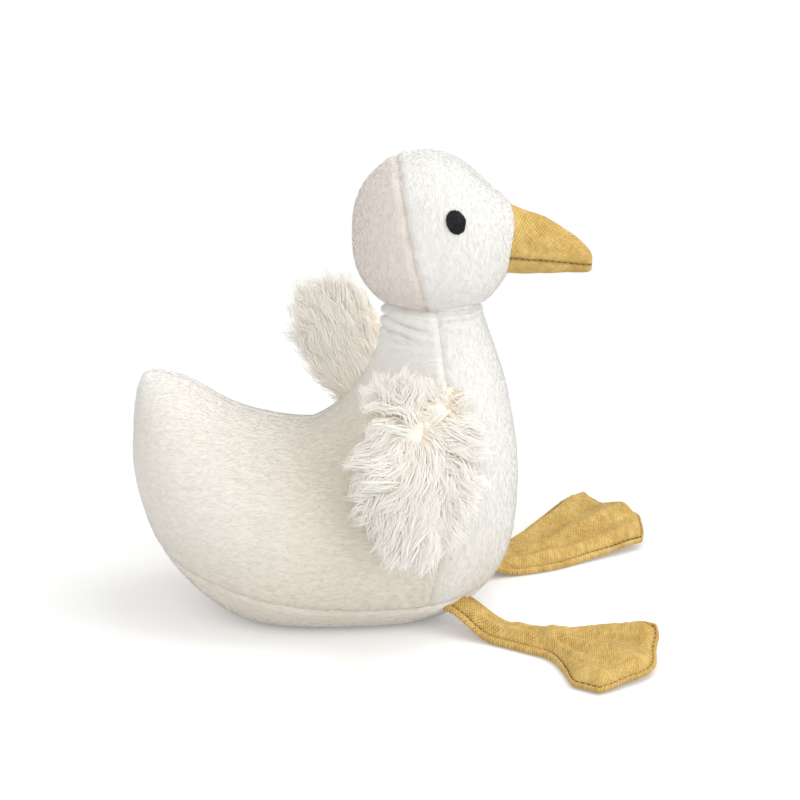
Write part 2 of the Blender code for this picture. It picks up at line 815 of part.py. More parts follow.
def make_foot(parts, foot, linen, fibre, body_cut):
    """One foot: upper and lower linen panels, and the wadding between them."""
    word = "left" if foot.side > 0 else "right"
    alongs = [index / (FOOT_ROWS - 1) for index in range(FOOT_ROWS)]
    acrosses = [2 * index / (FOOT_COLUMNS - 1) - 1 for index in range(FOOT_COLUMNS)]
    half_gap = CLEARANCE / 2

    def under_upper(along, across):
        """The inner face of the upper panel."""
        return half_gap + foot_puff(foot, along, across)

    def over_upper(along, across):
        """The outer face of the upper panel."""
        return under_upper(along, across) + LINEN_CLOTH

    upper = slab(
        "foot_%s_upper" % word,
        foot_grid(foot, alongs, acrosses, under_upper),
        foot_grid(foot, alongs, acrosses, over_upper),
        parts,
    )
    lower = slab(
        "foot_%s_lower" % word,
        foot_grid(foot, alongs, acrosses, lambda along, across: -half_gap - LINEN_CLOTH),
        foot_grid(foot, alongs, acrosses, lambda along, across: -half_gap),
        parts,
    )
    wadding = make_wadding(parts, "foot_%s_wadding" % word, foot, alongs, acrosses)
    for item, material in ((upper, linen), (lower, linen), (wadding, fibre)):
        boolean(item, body_cut, "DIFFERENCE")
        finish_part(item, material)


def wing_grid(place, offset):
    """A grid of wing points. place maps length, width and height to the wing's seat."""
    rows = []
    for row_index in range(WING_ROWS):
        along = row_index / (WING_ROWS - 1)
        row = []
        for column_index in range(WING_COLUMNS):
            across = 2 * column_index / (WING_COLUMNS - 1) - 1
            outline = math.sin(math.pi * (0.15 + 0.82 * along ** 0.85)) ** 0.55
            width = WING_WIDTH / 2 * across * outline
            bulge = (1 - across ** 4) * math.sin(math.pi * (0.10 + 0.86 * along)) ** 0.6
            row.append(place(along * WING_LENGTH, width, offset(along, across, bulge)))
        rows.append(row)
    return rows


def make_wing(parts, word, place, fur, body_cut):
    """One wing: an outer and an inner fur panel, each with coarse locks."""
    half_gap = CLEARANCE / 2

    def outer_face(along, across, bulge):
        """The fur's outer face, in waves that stand for its locks."""
        locks = math.sin(9 * along * math.pi + 2.5 * across) * math.cos(2.5 * math.pi * across)
        return WING_EDGE + bulge * (WING_THICKNESS / 2 + WING_LOCK_DEPTH * locks)

    def inner_face(along, across, bulge):
        """The fur's inner face, in waves that run the other way."""
        locks = math.sin(8 * along * math.pi - 2.5 * across) * math.cos(2.5 * math.pi * across)
        return -WING_EDGE - bulge * (WING_THICKNESS / 2 + WING_LOCK_DEPTH * locks)

    def just_over(along, across, bulge):
        """The outer panel's back."""
        return half_gap

    def just_under(along, across, bulge):
        """The inner panel's back."""
        return -half_gap

    outer = slab(
        "wing_%s_outer" % word, wing_grid(place, just_over), wing_grid(place, outer_face), parts
    )
    inner = slab(
        "wing_%s_inner" % word, wing_grid(place, inner_face), wing_grid(place, just_under), parts
    )
    for item in (outer, inner):
        boolean(item, body_cut, "DIFFERENCE")
        finish_part(item, fur)


def surface_point(tree, x, z, side):
    """Where the body's side is, at a place in its profile."""
    start = Vector((x, side * BODY_WIDTH * 2, z))
    hit, _normal, _index, _distance = tree.ray_cast(start, Vector((0, -side, 0)))
    return hit


def right_wing_place(tree):
    """The right wing hangs down on the side of the body, and wraps round it."""
    root = surface_point(tree, WING_ROOT_X, WING_ROOT_HEIGHT, -1)
    tip = surface_point(tree, WING_ROOT_X, WING_ROOT_HEIGHT - WING_LENGTH * 0.94, -1)
    down = (tip - root).normalized()
    forward = (Vector((1, 0, 0)) - down * down.x).normalized()
    outward = down.cross(forward)
    if outward.y > 0:
        outward = -outward
    lift = WING_THICKNESS * 0.36

    def place(length, width, height):
        """Lay the wing over the swell of the side."""
        share = length / WING_LENGTH
        swell = WING_ARCH * (1 - (2 * share - 1) ** 2)
        wrap = WING_WRAP * (width / (WING_WIDTH / 2)) ** 2 * (1 - 0.3 * share)
        middle = root + down * length + forward * width
        return middle + outward * (lift + swell - wrap + height)

    return place


def left_wing_place(tree):
    """The left wing is flipped up, and stands behind the neck with its tip out and back."""
    root = surface_point(tree, WING_ROOT_X - LEFT_WING_BACK, WING_ROOT_HEIGHT - LEFT_WING_DROP, 1)
    up = LEFT_WING_UP.normalized()
    forward = (LEFT_WING_FORWARD - up * LEFT_WING_FORWARD.dot(up)).normalized()
    outward = up.cross(forward)
    if outward.y < 0:
        outward = -outward
    lift = WING_THICKNESS * 0.30

    def place(length, width, height):
        """Stand the wing up, with its tip curling out."""
        share = length / WING_LENGTH
        curl = LEFT_WING_CURL * share ** 2
        middle = root + up * length + forward * width
        return middle + outward * (lift + curl + height)

    return place


def main():
    """Build the goose."""
    clear_scene()
    parts = new_collection("plush_goose")
    new_collection("cutters")
    pile = new_material("pile_cloth", CREAM, 0.9, 0.4)
    fur = new_material("long_fur", FUR_WHITE, 0.9, 0.3)
    linen = new_material("linen", MUSTARD, 0.85, 0.1)
    thread = new_material("eye_thread", BLACK, 0.6)
    fibre = new_material("fibre_filling", FIBRE, 1.0)

    make_skin(parts, pile)
    make_stuffing(parts, fibre)
    head_cut = head_form(-CLEARANCE)
    make_beak(parts, linen, fibre, head_cut)
    for side in (-1, 1):
        make_eye(parts, side, thread, head_cut)
    body_cut = goose_form(-CLEARANCE)
    for foot in (RIGHT_FOOT, LEFT_FOOT):
        make_foot(parts, foot, linen, fibre, body_cut)
    tree = BVHTree.FromObject(body_cut, bpy.context.evaluated_depsgraph_get())
    make_wing(parts, "right", right_wing_place(tree), fur, body_cut)
    make_wing(parts, "left", left_wing_place(tree), fur, body_cut)


main()
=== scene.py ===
"""Looks of a sitting plush goose: pile cloth, long-fur wings, linen beak and feet.

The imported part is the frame. The goose faces +X, its own left side is +Y and it
sits on z = 0. All lengths are in metres.
"""

import logging
import math
from dataclasses import dataclass
from enum import Enum
from typing import Any, Callable, Iterable, Sequence

import bmesh
import bpy
import numpy as np
from bpy.types import Material, Mesh, Node, NodeSocket, Object
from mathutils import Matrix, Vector, noise
from mathutils.bvhtree import BVHTree


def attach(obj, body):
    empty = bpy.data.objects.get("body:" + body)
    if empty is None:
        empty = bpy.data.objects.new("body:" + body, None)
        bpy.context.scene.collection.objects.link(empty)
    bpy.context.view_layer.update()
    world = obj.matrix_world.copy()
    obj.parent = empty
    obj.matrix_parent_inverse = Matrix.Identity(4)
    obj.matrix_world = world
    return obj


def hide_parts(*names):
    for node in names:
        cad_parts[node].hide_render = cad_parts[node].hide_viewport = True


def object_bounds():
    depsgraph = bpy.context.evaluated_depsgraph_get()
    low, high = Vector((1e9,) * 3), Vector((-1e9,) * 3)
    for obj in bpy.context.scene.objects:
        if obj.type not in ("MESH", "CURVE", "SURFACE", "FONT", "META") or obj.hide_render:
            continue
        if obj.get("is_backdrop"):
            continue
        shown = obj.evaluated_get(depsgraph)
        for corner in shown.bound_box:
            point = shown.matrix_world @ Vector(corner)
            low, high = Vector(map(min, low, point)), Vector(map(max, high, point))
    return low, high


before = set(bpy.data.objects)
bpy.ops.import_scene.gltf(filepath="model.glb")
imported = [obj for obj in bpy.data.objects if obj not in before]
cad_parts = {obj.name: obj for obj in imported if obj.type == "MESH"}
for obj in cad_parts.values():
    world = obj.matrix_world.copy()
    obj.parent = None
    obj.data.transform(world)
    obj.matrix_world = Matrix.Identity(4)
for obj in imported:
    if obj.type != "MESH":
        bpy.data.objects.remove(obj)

CAD_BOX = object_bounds()
MM = 0.001
UP = Vector((0, 0, 1))
FLOW_SEED = 1796039073

Pair = tuple[float, float]
Place = Callable[[float, float, float], Vector]

log = logging.getLogger("goose")


class Named(Enum):
    """A choice whose name stands in the names of pieces."""

    @property
    def word(self) -> str:
        """The name as pieces carry it."""
        return self.name.lower()


class Side(Named):
    """The goose's own sides, with their sign along Y."""

    LEFT = 1
    RIGHT = -1


class Layer(Named):
    """A wing's two fur panels, with the sign of the way they face."""

    OUTER = 1
    INNER = -1


# Node trees


class NodeBook:
    """Adds nodes to one tree, a material's or a Geometry Nodes tree."""

    def __init__(self, tree: bpy.types.NodeTree) -> None:
        """Args: tree: the tree that takes the nodes."""
        self.tree = tree

    def node(self, kind: str, settings: dict | None = None, inputs: dict | None = None) -> Node:
        """Add a node.

        Args:
            kind: the node's type.
            settings: its own settings, and for a ramp its stops.
            inputs: a value, socket or expression for each socket's name or number.

        Returns:
            The new node.
        """
        made = self.tree.nodes.new(kind)
        for name, value in (settings or {}).items():
            if name == "stops":
                self._set_stops(made.color_ramp, value)
            else:
                setattr(made, name, value)
        for key, value in (inputs or {}).items():
            if isinstance(value, Node):
                value = value.outputs[0]
            if isinstance(value, (Signal, Arrow)):
                value = value.socket
            if isinstance(value, NodeSocket):
                self.tree.links.new(value, made.inputs[key])
            else:
                made.inputs[key].default_value = value
        return made

    def signal(
        self, kind: str, settings: dict | None = None, inputs: dict | None = None, output: Any = 0
    ) -> "Signal":
        """Add a node and return one of its outputs as a number."""
        return Signal(self, self.node(kind, settings, inputs).outputs[output])

    def arrow(
        self, kind: str, settings: dict | None = None, inputs: dict | None = None, output: Any = 0
    ) -> "Arrow":
        """Add a node and return one of its outputs as a vector or colour."""
        return Arrow(self, self.node(kind, settings, inputs).outputs[output])

    def place(self) -> "Arrow":
        """Where the surface is, in the goose's own coordinates."""
        return self.arrow("ShaderNodeTexCoord", None, None, "Object")

    def noise(self, place: "Arrow", scale: float, **more: float) -> "Signal":
        """Smooth noise at a place, of a scale and further settings by their sockets' names."""
        return self.signal("ShaderNodeTexNoise", None, {0: place, "Scale": scale, **more})

    def mark(self, name: str) -> "Signal":
        """A number that the mesh's points carry under a name."""
        return self.signal("ShaderNodeAttribute", {"attribute_name": name}, None, "Fac")

    def mix_colours(self, share: Any, first: Any, second: Any, blend: str = "MIX") -> "Arrow":
        """Blend two colours by a share from 0 to 1."""
        ends = {0: share, 6: _with_alpha(first), 7: _with_alpha(second)}
        return self.arrow("ShaderNodeMix", {"data_type": "RGBA", "blend_type": blend}, ends, 2)

    def seen(self) -> "Signal":
        """1 for what the camera or a glossy surface sees, and 0 for the rest of the light."""
        rays = self.node("ShaderNodeLightPath")
        glossy = Signal(self, rays.outputs["Is Glossy Ray"])
        return Signal(self, rays.outputs["Is Camera Ray"]).larger(glossy)

    @staticmethod
    def _set_stops(ramp: bpy.types.ColorRamp, stops: Sequence[tuple]) -> None:
        """Set a ramp's stops, each a place and a colour."""
        while len(ramp.elements) < len(stops):
            ramp.elements.new(1.0)
        for element, (place, colour) in zip(ramp.elements, stops):
            element.position = place
            element.color = _with_alpha(colour)


def _with_alpha(colour: Any) -> Any:
    """Give a plain three-part colour its alpha, and leave a socket as it is."""
    return (*colour, 1.0) if isinstance(colour, tuple) and len(colour) == 3 else colour


class Signal:
    """A number's socket, which adds Math nodes when it is used in an expression."""

    def __init__(self, book: NodeBook, socket: NodeSocket) -> None:
        """Args: book: what adds the nodes. socket: the number's socket."""
        self.book = book
        self.socket = socket

    def _math(self, operation: str, *terms: Any) -> "Signal":
        """Add one Math node on the terms."""
        return self.book.signal("ShaderNodeMath", {"operation": operation}, dict(enumerate(terms)))

    def __add__(self, other: Any) -> "Signal":
        """self + other."""
        return self._math("ADD", self, other)

    def __sub__(self, other: Any) -> "Signal":
        """self - other."""
        return self._math("SUBTRACT", self, other)

    def __rsub__(self, other: Any) -> "Signal":
        """other - self."""
        return self._math("SUBTRACT", other, self)

    def __mul__(self, other: Any) -> "Signal":
        """self * other."""
        return self._math("MULTIPLY", self, other)

    __radd__ = __add__
    __rmul__ = __mul__

    def __truediv__(self, other: Any) -> "Signal":
        """self / other."""
        return self._math("DIVIDE", self, other)

    def __pow__(self, other: Any) -> "Signal":
        """self ** other."""
        return self._math("POWER", self, other)

    def sine(self) -> "Signal":
        """The sine of the number."""
        return self._math("SINE", self)

    def cosine(self) -> "Signal":
        """The cosine of the number."""
        return self._math("COSINE", self)

    def size(self) -> "Signal":
        """The number without its sign."""
        return self._math("ABSOLUTE", self)

    def larger(self, other: Any) -> "Signal":
        """The larger of two numbers."""
        return self._math("MAXIMUM", self, other)

    def clamped(self) -> "Signal":
        """The number held between 0 and 1."""
        return self.book.signal("ShaderNodeClamp", None, {0: self})


class Arrow:
    """A vector's socket, which adds Vector Math nodes when it is used in an expression."""

    def __init__(self, book: NodeBook, socket: NodeSocket) -> None:
        """Args: book: what adds the nodes. socket: the vector's socket."""
        self.book = book
        self.socket = socket

    def _math(self, operation: str, inputs: dict[Any, Any], output: int = 0) -> Any:
        """Add one Vector Math node."""
        node = self.book.node("ShaderNodeVectorMath", {"operation": operation}, inputs)
        return (Signal if output else Arrow)(self.book, node.outputs[output])

    def __add__(self, other: "Arrow") -> "Arrow":
        """self + other."""
        return self._math("ADD", {0: self, 1: other})

    def __sub__(self, other: "Arrow") -> "Arrow":
        """self - other."""
        return self._math("SUBTRACT", {0: self, 1: other})

    def __mul__(self, factor: Any) -> "Arrow":
        """The vector made longer by a number."""
        return self._math("SCALE", {0: self, "Scale": factor})

    def cross(self, other: "Arrow") -> "Arrow":
        """The vector square to both."""
        return self._math("CROSS_PRODUCT", {0: self, 1: other})

    def dot(self, other: "Arrow") -> Signal:
        """How far the two agree."""
        return self._math("DOT_PRODUCT", {0: self, 1: other}, 1)

    def unit(self) -> "Arrow":
        """The vector at length 1."""
        return self._math("NORMALIZE", {0: self})

    def part(self, axis: str) -> Signal:
        """One of its three parts: X, Y or Z."""
        return self.book.signal("ShaderNodeSeparateXYZ", None, {0: self}, axis)


# Finishes


@dataclass(frozen=True)
class Finish:
    """What every finish has: its name, its shader's constants and the depth of its relief."""

    name: str
    roughness: float = 0.85
    sheen: float = 0.0
    gloss: float = 0.2
    bump: float = 0.5
    relief: float = 0.2 * MM

    def surface(self, book: NodeBook) -> tuple[Arrow, Signal]:
        """The finish's colour and its height, as they change over the surface."""
        raise NotImplementedError

    def make(self) -> Material:
        """Build the material. Returns: it."""
        material = bpy.data.materials.new(self.name)
        material.use_nodes = True
        shader = material.node_tree.nodes["Principled BSDF"]
        shader.inputs["Roughness"].default_value = self.roughness
        shader.inputs["Sheen Weight"].default_value = self.sheen
        shader.inputs["Sheen Roughness"].default_value = 0.5
        shader.inputs["Specular IOR Level"].default_value = self.gloss
        book = NodeBook(material.node_tree)
        colour, height = self.surface(book)
        depth = {"Strength": self.bump, "Distance": self.relief, "Height": height}
        relief = book.arrow("ShaderNodeBump", None, depth)
        book.tree.links.new(colour.socket, shader.inputs["Base Color"])
        book.tree.links.new(relief.socket, shader.inputs["Normal"])
        return material


@dataclass(frozen=True)
class PileFinish(Finish):
    """Short velour: fine wavy partings along the nap, their darkness partly painted shade, and a painted
    shade tint where the body lies in shade and where the nap is turned.
    """

    bump: float = 0.25
    ground: tuple = (0.83, 0.815, 0.775)
    tip: tuple = (0.90, 0.89, 0.86)
    # Painted shade tint; on the back of the head it also stands for the nap lying the other way.
    turned: tuple = (0.78, 0.71, 0.60)
    streak: tuple = (150.0, 620.0, 620.0)

    def surface(self, book: NodeBook) -> tuple[Arrow, Signal]:
        """Hairs and partings drawn along the nap, darkened by the shade mark, which holds painted shade
        and the turned nap.
        """
        place = book.place()
        nap = book.arrow("ShaderNodeMapping", None, {0: place, "Scale": self.streak})
        waves = book.noise(nap, 1.0, Detail=2.5, Distortion=0.5)
        hairs = book.noise(nap, 2.4, Detail=2.0)
        patches = book.noise(place, 60.0, Detail=2.0)
        # Painted shade: the partings mix towards the darker ground colour where the nap's waves would be
        # shaded, over real partings of the nap.
        parting = ((waves - 0.5).size() * 11.0).clamped()
        share = parting * 0.6 + (hairs - 0.5) * 1.1 + (patches - 0.5) * 0.5 + 0.2
        colour = book.mix_colours(share.clamped(), self.ground, self.tip)
        # Painted shade: the shade mark tints the cloth darker and warmer by the wing, low on the body,
        # below the neck and on the back of the head.
        shade = book.mark("shade").clamped()
        return book.mix_colours(shade, colour, self.turned, "MULTIPLY"), parting * 0.5 + hairs


@dataclass(frozen=True)
class FurFinish(Finish):
    """Long fur: beige roots that turn white towards the tips, strand by strand."""

    root: tuple = (0.80, 0.61, 0.39)
    middle: tuple = (0.93, 0.88, 0.79)
    tip: tuple = (0.955, 0.935, 0.89)

    def surface(self, book: NodeBook) -> tuple[Arrow, Signal]:
        """Root to tip by the strand's share, with fine hairs drawn along its flow."""
        spot = book.place()
        flow = book.arrow("ShaderNodeAttribute", {"attribute_name": "flow"}, None, "Vector")
        hairs = book.noise(spot - flow * (spot.dot(flow) * 0.88), 1500.0, Detail=2.0)
        depth = book.mark("strand_share") + (book.mark("tint") - 0.5) * 0.34
        stops = [(0.0, self.root), (0.28, self.middle), (0.62, self.tip)]
        share = (depth + (hairs - 0.5) * 0.3).clamped()
        return book.arrow("ShaderNodeValToRGB", {"stops": stops}, {0: share}), hairs


@dataclass(frozen=True)
class LinenFinish(Finish):
    """Plain-woven linen on a UV map in metres: warp over weft, with slubs."""

    bump: float = 0.8
    relief: float = 0.1 * MM
    # Painted shade between the threads and in the stitching groove.
    gap: tuple = (0.27, 0.145, 0.030)
    thread: tuple = (0.70, 0.475, 0.145)
    pale: tuple = (0.86, 0.65, 0.27)
    pitch: float = 0.6 * MM
    bias: float = 0.62

    def surface(self, book: NodeBook) -> tuple[Arrow, Signal]:
        """Crossing threads with gaps darkened as painted shade, worn, mottled, and with painted shade
        along the stitching.
        """
        uv = book.arrow("ShaderNodeUVMap", {"uv_map": "weave"})
        bias = {0: uv, "Rotation": (0.0, 0.0, self.bias)}
        flat = book.arrow("ShaderNodeMapping", None, bias)
        loose = {0: flat, "Scale": 260.0, "Detail": 1.0}
        wavy = flat + book.arrow("ShaderNodeTexNoise", None, loose, "Color") * (0.55 * MM)
        warp = (wavy.part("X") * (math.pi / self.pitch)).sine()
        weft = (wavy.part("Y") * (math.pi / self.pitch)).sine()
        crossing = warp * weft
        height = (warp.size() + crossing).larger(weft.size() - crossing) * 0.5
        slubs = []
        for stretch in ((2200.0, 330.0, 1.0), (330.0, 2200.0, 1.0)):
            drawn = book.arrow("ShaderNodeMapping", None, {0: flat, "Scale": stretch})
            slubs.append(book.noise(drawn, 1.0))
        slub = slubs[0] * 0.5 + slubs[1] * 0.5
        wear = book.noise(flat, 120.0, Detail=2.0)
        mottle = book.noise(flat, 520.0, Detail=3.0)
        shade = (slub - 0.5) * 1.2 + (wear - 0.5) * 0.6 + (mottle - 0.5) * 0.6
        # Painted shade between the threads: the lower the weave, the nearer the dark gap colour; slubs,
        # wear and mottle add the linen's own uneven tone.
        light = (height * 0.85 + shade + 0.26).clamped()
        paler = ((wear - 0.35) * 1.2 + (slub - 0.5) * 2.0).clamped()
        threads = book.mix_colours(paler, self.thread, self.pale)
        colour = book.mix_colours(light, self.gap, threads)
        # Painted shade: the cloth darkens to the gap colour in the groove along the stitching.
        seam = (book.mark("seam") * 0.55).clamped()
        return book.mix_colours(seam, colour, self.gap), height + slub


@dataclass(frozen=True)
class ThreadFinish(Finish):
    """Sewing or embroidery thread: two close colours and a fine twist."""

    relief: float = 0.05 * MM
    dark: tuple = (0.3, 0.2, 0.1)
    light: tuple = (0.5, 0.4, 0.2)
    patch_scale: float = 900.0
    twist_scale: float = 5200.0

    def surface(self, book: NodeBook) -> tuple[Arrow, Signal]:
        """Patches of the two colours, and the twist's height."""
        place = book.place()
        patches = (book.noise(place, self.patch_scale) * 2.4 - 0.7).clamped()
        twist = book.noise(place, self.twist_scale)
        return book.mix_colours(patches, self.dark, self.light), twist


@dataclass(frozen=True)
class FillingFinish(Finish):
    """Loose fibre filling: crossing wisps, with painted shade in the small hollows between them."""

    bump: float = 0.9
    relief: float = 0.5 * MM
    hollow: tuple = (0.72, 0.71, 0.69)
    wisp: tuple = (0.93, 0.93, 0.92)

    def surface(self, book: NodeBook) -> tuple[Arrow, Signal]:
        """Wisps over hollows darkened with painted shade."""
        wisps = book.noise(book.place(), 300.0, Detail=5.0, Distortion=2.0)
        return book.mix_colours((wisps * 1.8 - 0.4).clamped(), self.hollow, self.wisp), wisps


# Geometry Nodes trees


class GrowthTree:
    """A Geometry Nodes tree with named inputs, whose result is kept as a plain mesh."""

    def __init__(self, name: str) -> None:
        """Args: name: the tree's name."""
        self.tree = bpy.data.node_groups.new(name, "GeometryNodeTree")
        for in_out in ("INPUT", "OUTPUT"):
            self.tree.interface.new_socket(
                "Geometry", in_out=in_out, socket_type="NodeSocketGeometry"
            )
        self.book = NodeBook(self.tree)
        self.entry = self.book.node("NodeGroupInput")
        self.source = self.entry.outputs["Geometry"]
        self.identifiers: dict[str, str] = {}

    def amount(self, name: str, kind: str = "Float") -> Signal:
        """Add a named input.

        Args:
            name: the input's name.
            kind: its socket's kind, such as Float, Int or Material.

        Returns:
            The socket inside the tree that carries it.
        """
        kind = "NodeSocket" + kind
        socket = self.tree.interface.new_socket(name, in_out="INPUT", socket_type=kind)
        self.identifiers[name] = socket.identifier
        return Signal(self.book, self.entry.outputs[name])

    def attribute(self, name: str, kind: str = "FLOAT") -> Any:
        """Read a named attribute. Returns: it as a number or a vector."""
        wrap = self.book.arrow if kind == "FLOAT_VECTOR" else self.book.signal
        return wrap("GeometryNodeInputNamedAttribute", {"data_type": kind}, {"Name": name})

    def shake(self, seed: Signal) -> Arrow:
        """A random vector for each point, with parts from -1 to 1."""
        ends = {0: (-1.0, -1.0, -1.0), 1: (1.0, 1.0, 1.0), "Seed": seed}
        return self.book.arrow("FunctionNodeRandomValue", {"data_type": "FLOAT_VECTOR"}, ends)

    def store(self, geometry: Node, name: str, value: Any, domain: str = "POINT") -> Node:
        """Store a number or a vector on the geometry under a name."""
        kind = "FLOAT_VECTOR" if isinstance(value, Arrow) else "FLOAT"
        settings = {"data_type": kind, "domain": domain}
        inputs = {0: geometry, "Name": name, "Value": value}
        return self.book.node("GeometryNodeStoreNamedAttribute", settings, inputs)

    def swept(self, curve: Node, sides: int, radius: float, squash: float, size: Signal) -> Node:
        """Turn curves into closed round or flat-sided threads.

        Args:
            curve: what makes the curves.
            sides: how many sides a thread has.
            radius: its radius where the size is 1.
            squash: how thick it is against its width.
            size: its size along it.

        Returns:
            What makes the threads.
        """
        settings = {"Resolution": sides, "Radius": radius}
        ring = self.book.node("GeometryNodeCurvePrimitiveCircle", {"mode": "RADIUS"}, settings)
        if squash < 1.0:
            pressed = {0: ring, "Rotation": (0.0, 0.0, math.pi), "Scale": (squash, 1.0, 1.0)}
            ring = self.book.node("GeometryNodeTransform", None, pressed)
        inputs = {"Curve": curve, "Profile Curve": ring, "Scale": size, "Fill Caps": True}
        return self.book.node("GeometryNodeCurveToMesh", None, inputs)

    def close(self, geometry: Node) -> None:
        """End the tree in Realize Instances and Set Material, with the material an input."""
        real = self.book.node("GeometryNodeRealizeInstances", None, {0: geometry})
        smooth = self.book.node("GeometryNodeSetShadeSmooth", None, {0: real})
        dress = {0: smooth, "Material": self.amount("Material", "Material")}
        painted = self.book.node("GeometryNodeSetMaterial", None, dress)
        self.book.node("NodeGroupOutput", None, {0: painted})

    def grow(self, source: Object, name: str, values: dict[str, Any]) -> Object:
        """Run the tree on an object and keep what it makes.

        Args:
            source: the object that the tree reads.
            name: the new piece's name.
            values: the tree's named inputs.

        Returns:
            The new piece, with a plain mesh.
        """
        modifier = source.modifiers.new(self.tree.name, "NODES")
        modifier.node_group = self.tree
        for key, value in values.items():
            modifier[self.identifiers[key]] = value
        mesh = evaluated_mesh(source)
        source.modifiers.remove(modifier)
        return new_piece(name, mesh)


class PileTree(GrowthTree):
    """Covers a cloth panel with short tufts that lean along its nap."""

    def __init__(self) -> None:
        """Build the tree."""
        super().__init__("pile_tufts")
        book = self.book
        density = self.amount("Tufts per square metre")
        length = self.amount("Tuft length")
        width = self.amount("Tuft width")
        lean = self.amount("Lean")
        jitter = self.amount("Jitter")
        seed = self.amount("Seed", "Int")
        thinned = self.attribute("nap") * density
        scatter = book.node(
            "GeometryNodeDistributePointsOnFaces",
            {"distribute_method": "RANDOM"},
            {"Mesh": self.source, "Density": thinned, "Seed": seed},
        )
        normal = Arrow(book, scatter.outputs["Normal"])
        way = self.attribute("pile_way", "FLOAT_VECTOR") + self.shake(seed) * jitter
        flat = (way - normal * way.dot(normal)).unit()
        axis = flat * lean.cosine() + normal * lean.sine()
        align = "FunctionNodeAlignRotationToVector"
        pointed = book.node(align, {"axis": "Z"}, {"Vector": axis.unit()})
        outwards = {"Rotation": pointed, "Vector": normal * -1.0}
        turn = book.node(align, {"axis": "X", "pivot_axis": "Z"}, outwards)
        tuft = book.node(
            "GeometryNodeMeshCone",
            {"fill_type": "NGON"},
            {"Vertices": 3, "Radius Top": 0.0, "Radius Bottom": width, "Depth": length},
        )
        blade = book.node("GeometryNodeTransform", None, {0: tuft, "Scale": (0.4, 1.0, 1.0)})
        spread = {2: 0.65, 3: 1.25, "Seed": seed}
        sizes = book.signal("FunctionNodeRandomValue", {"data_type": "FLOAT"}, spread, 1)
        tufts = book.node(
            "GeometryNodeInstanceOnPoints",
            None,
            {"Points": scatter, "Instance": blade, "Rotation": turn, "Scale": sizes},
        )
        self.close(self.store(tufts, "ground", normal, "INSTANCE"))


class FurTree(GrowthTree):
    """Grows one curved, tapering strand from each root, gathered into locks.

    The roots carry the lock's way, lift and phase, and where in the lock they stand.
    """

    def __init__(self) -> None:
        """Build the tree."""
        super().__init__("fur_strands")
        book = self.book
        points = self.amount("Points", "Int")
        width = self.amount("Strand width")
        loft = self.amount("Loft")
        curl = self.amount("Curl")
        turns = self.amount("Turns")
        hold = self.amount("Hold")
        sag = self.amount("Sag")
        line = book.node("GeometryNodeCurvePrimitiveLine", None, {"End": (0.0, 0.0, 1.0)})
        evenly = {"Curve": line, "Count": points}
        curve = book.node("GeometryNodeResampleCurve", {"mode": "COUNT"}, evenly)
        roots = book.node("GeometryNodeMeshToPoints", None, {"Mesh": self.source})
        plant = {"Points": roots, "Instance": curve}
        planted = book.node("GeometryNodeInstanceOnPoints", None, plant)
        real = book.node("GeometryNodeRealizeInstances", None, {0: planted})
        share = book.signal("GeometryNodeSplineParameter")
        root = self.attribute("root", "FLOAT_VECTOR")
        way = self.attribute("way", "FLOAT_VECTOR")
        lift = self.attribute("lift", "FLOAT_VECTOR")
        gather = self.attribute("gather", "FLOAT_VECTOR")
        reach = self.attribute("reach")
        phase = self.attribute("phase") + share * turns
        sway = reach * curl * share
        down = book.arrow("ShaderNodeCombineXYZ", None, {2: -1.0})
        place = (
            root
            + way * (reach * (share ** 1.35))
            + lift * (reach * loft * (share * 2.3).sine() + sway * phase.cosine() * 0.3)
            + way.cross(lift) * (sway * phase.sine())
            - gather * (hold * (share ** 1.15))
            + down * (reach * sag * share * share)
        )
        bent = book.node("GeometryNodeSetPosition", None, {0: real, "Position": place})
        marked = self.store(bent, "strand_share", share)
        shaded = self.store(marked, "ground", lift + gather * 160.0)
        facing = {"Curve": shaded, "Normal": lift}
        faced = book.node("GeometryNodeSetCurveNormal", {"mode": "FREE"}, facing)
        taper = width * (1.0 - (share ** 2.2) * 0.85)
        self.close(self.swept(faced, 3, 1.0, 0.35, taper))


@dataclass(frozen=True)
class Stitch:
    """The sizes of one kind of stitching, and the seed of its unevenness."""

    pitch: float
    length: float
    width: float
    jitter: float
    seed: int


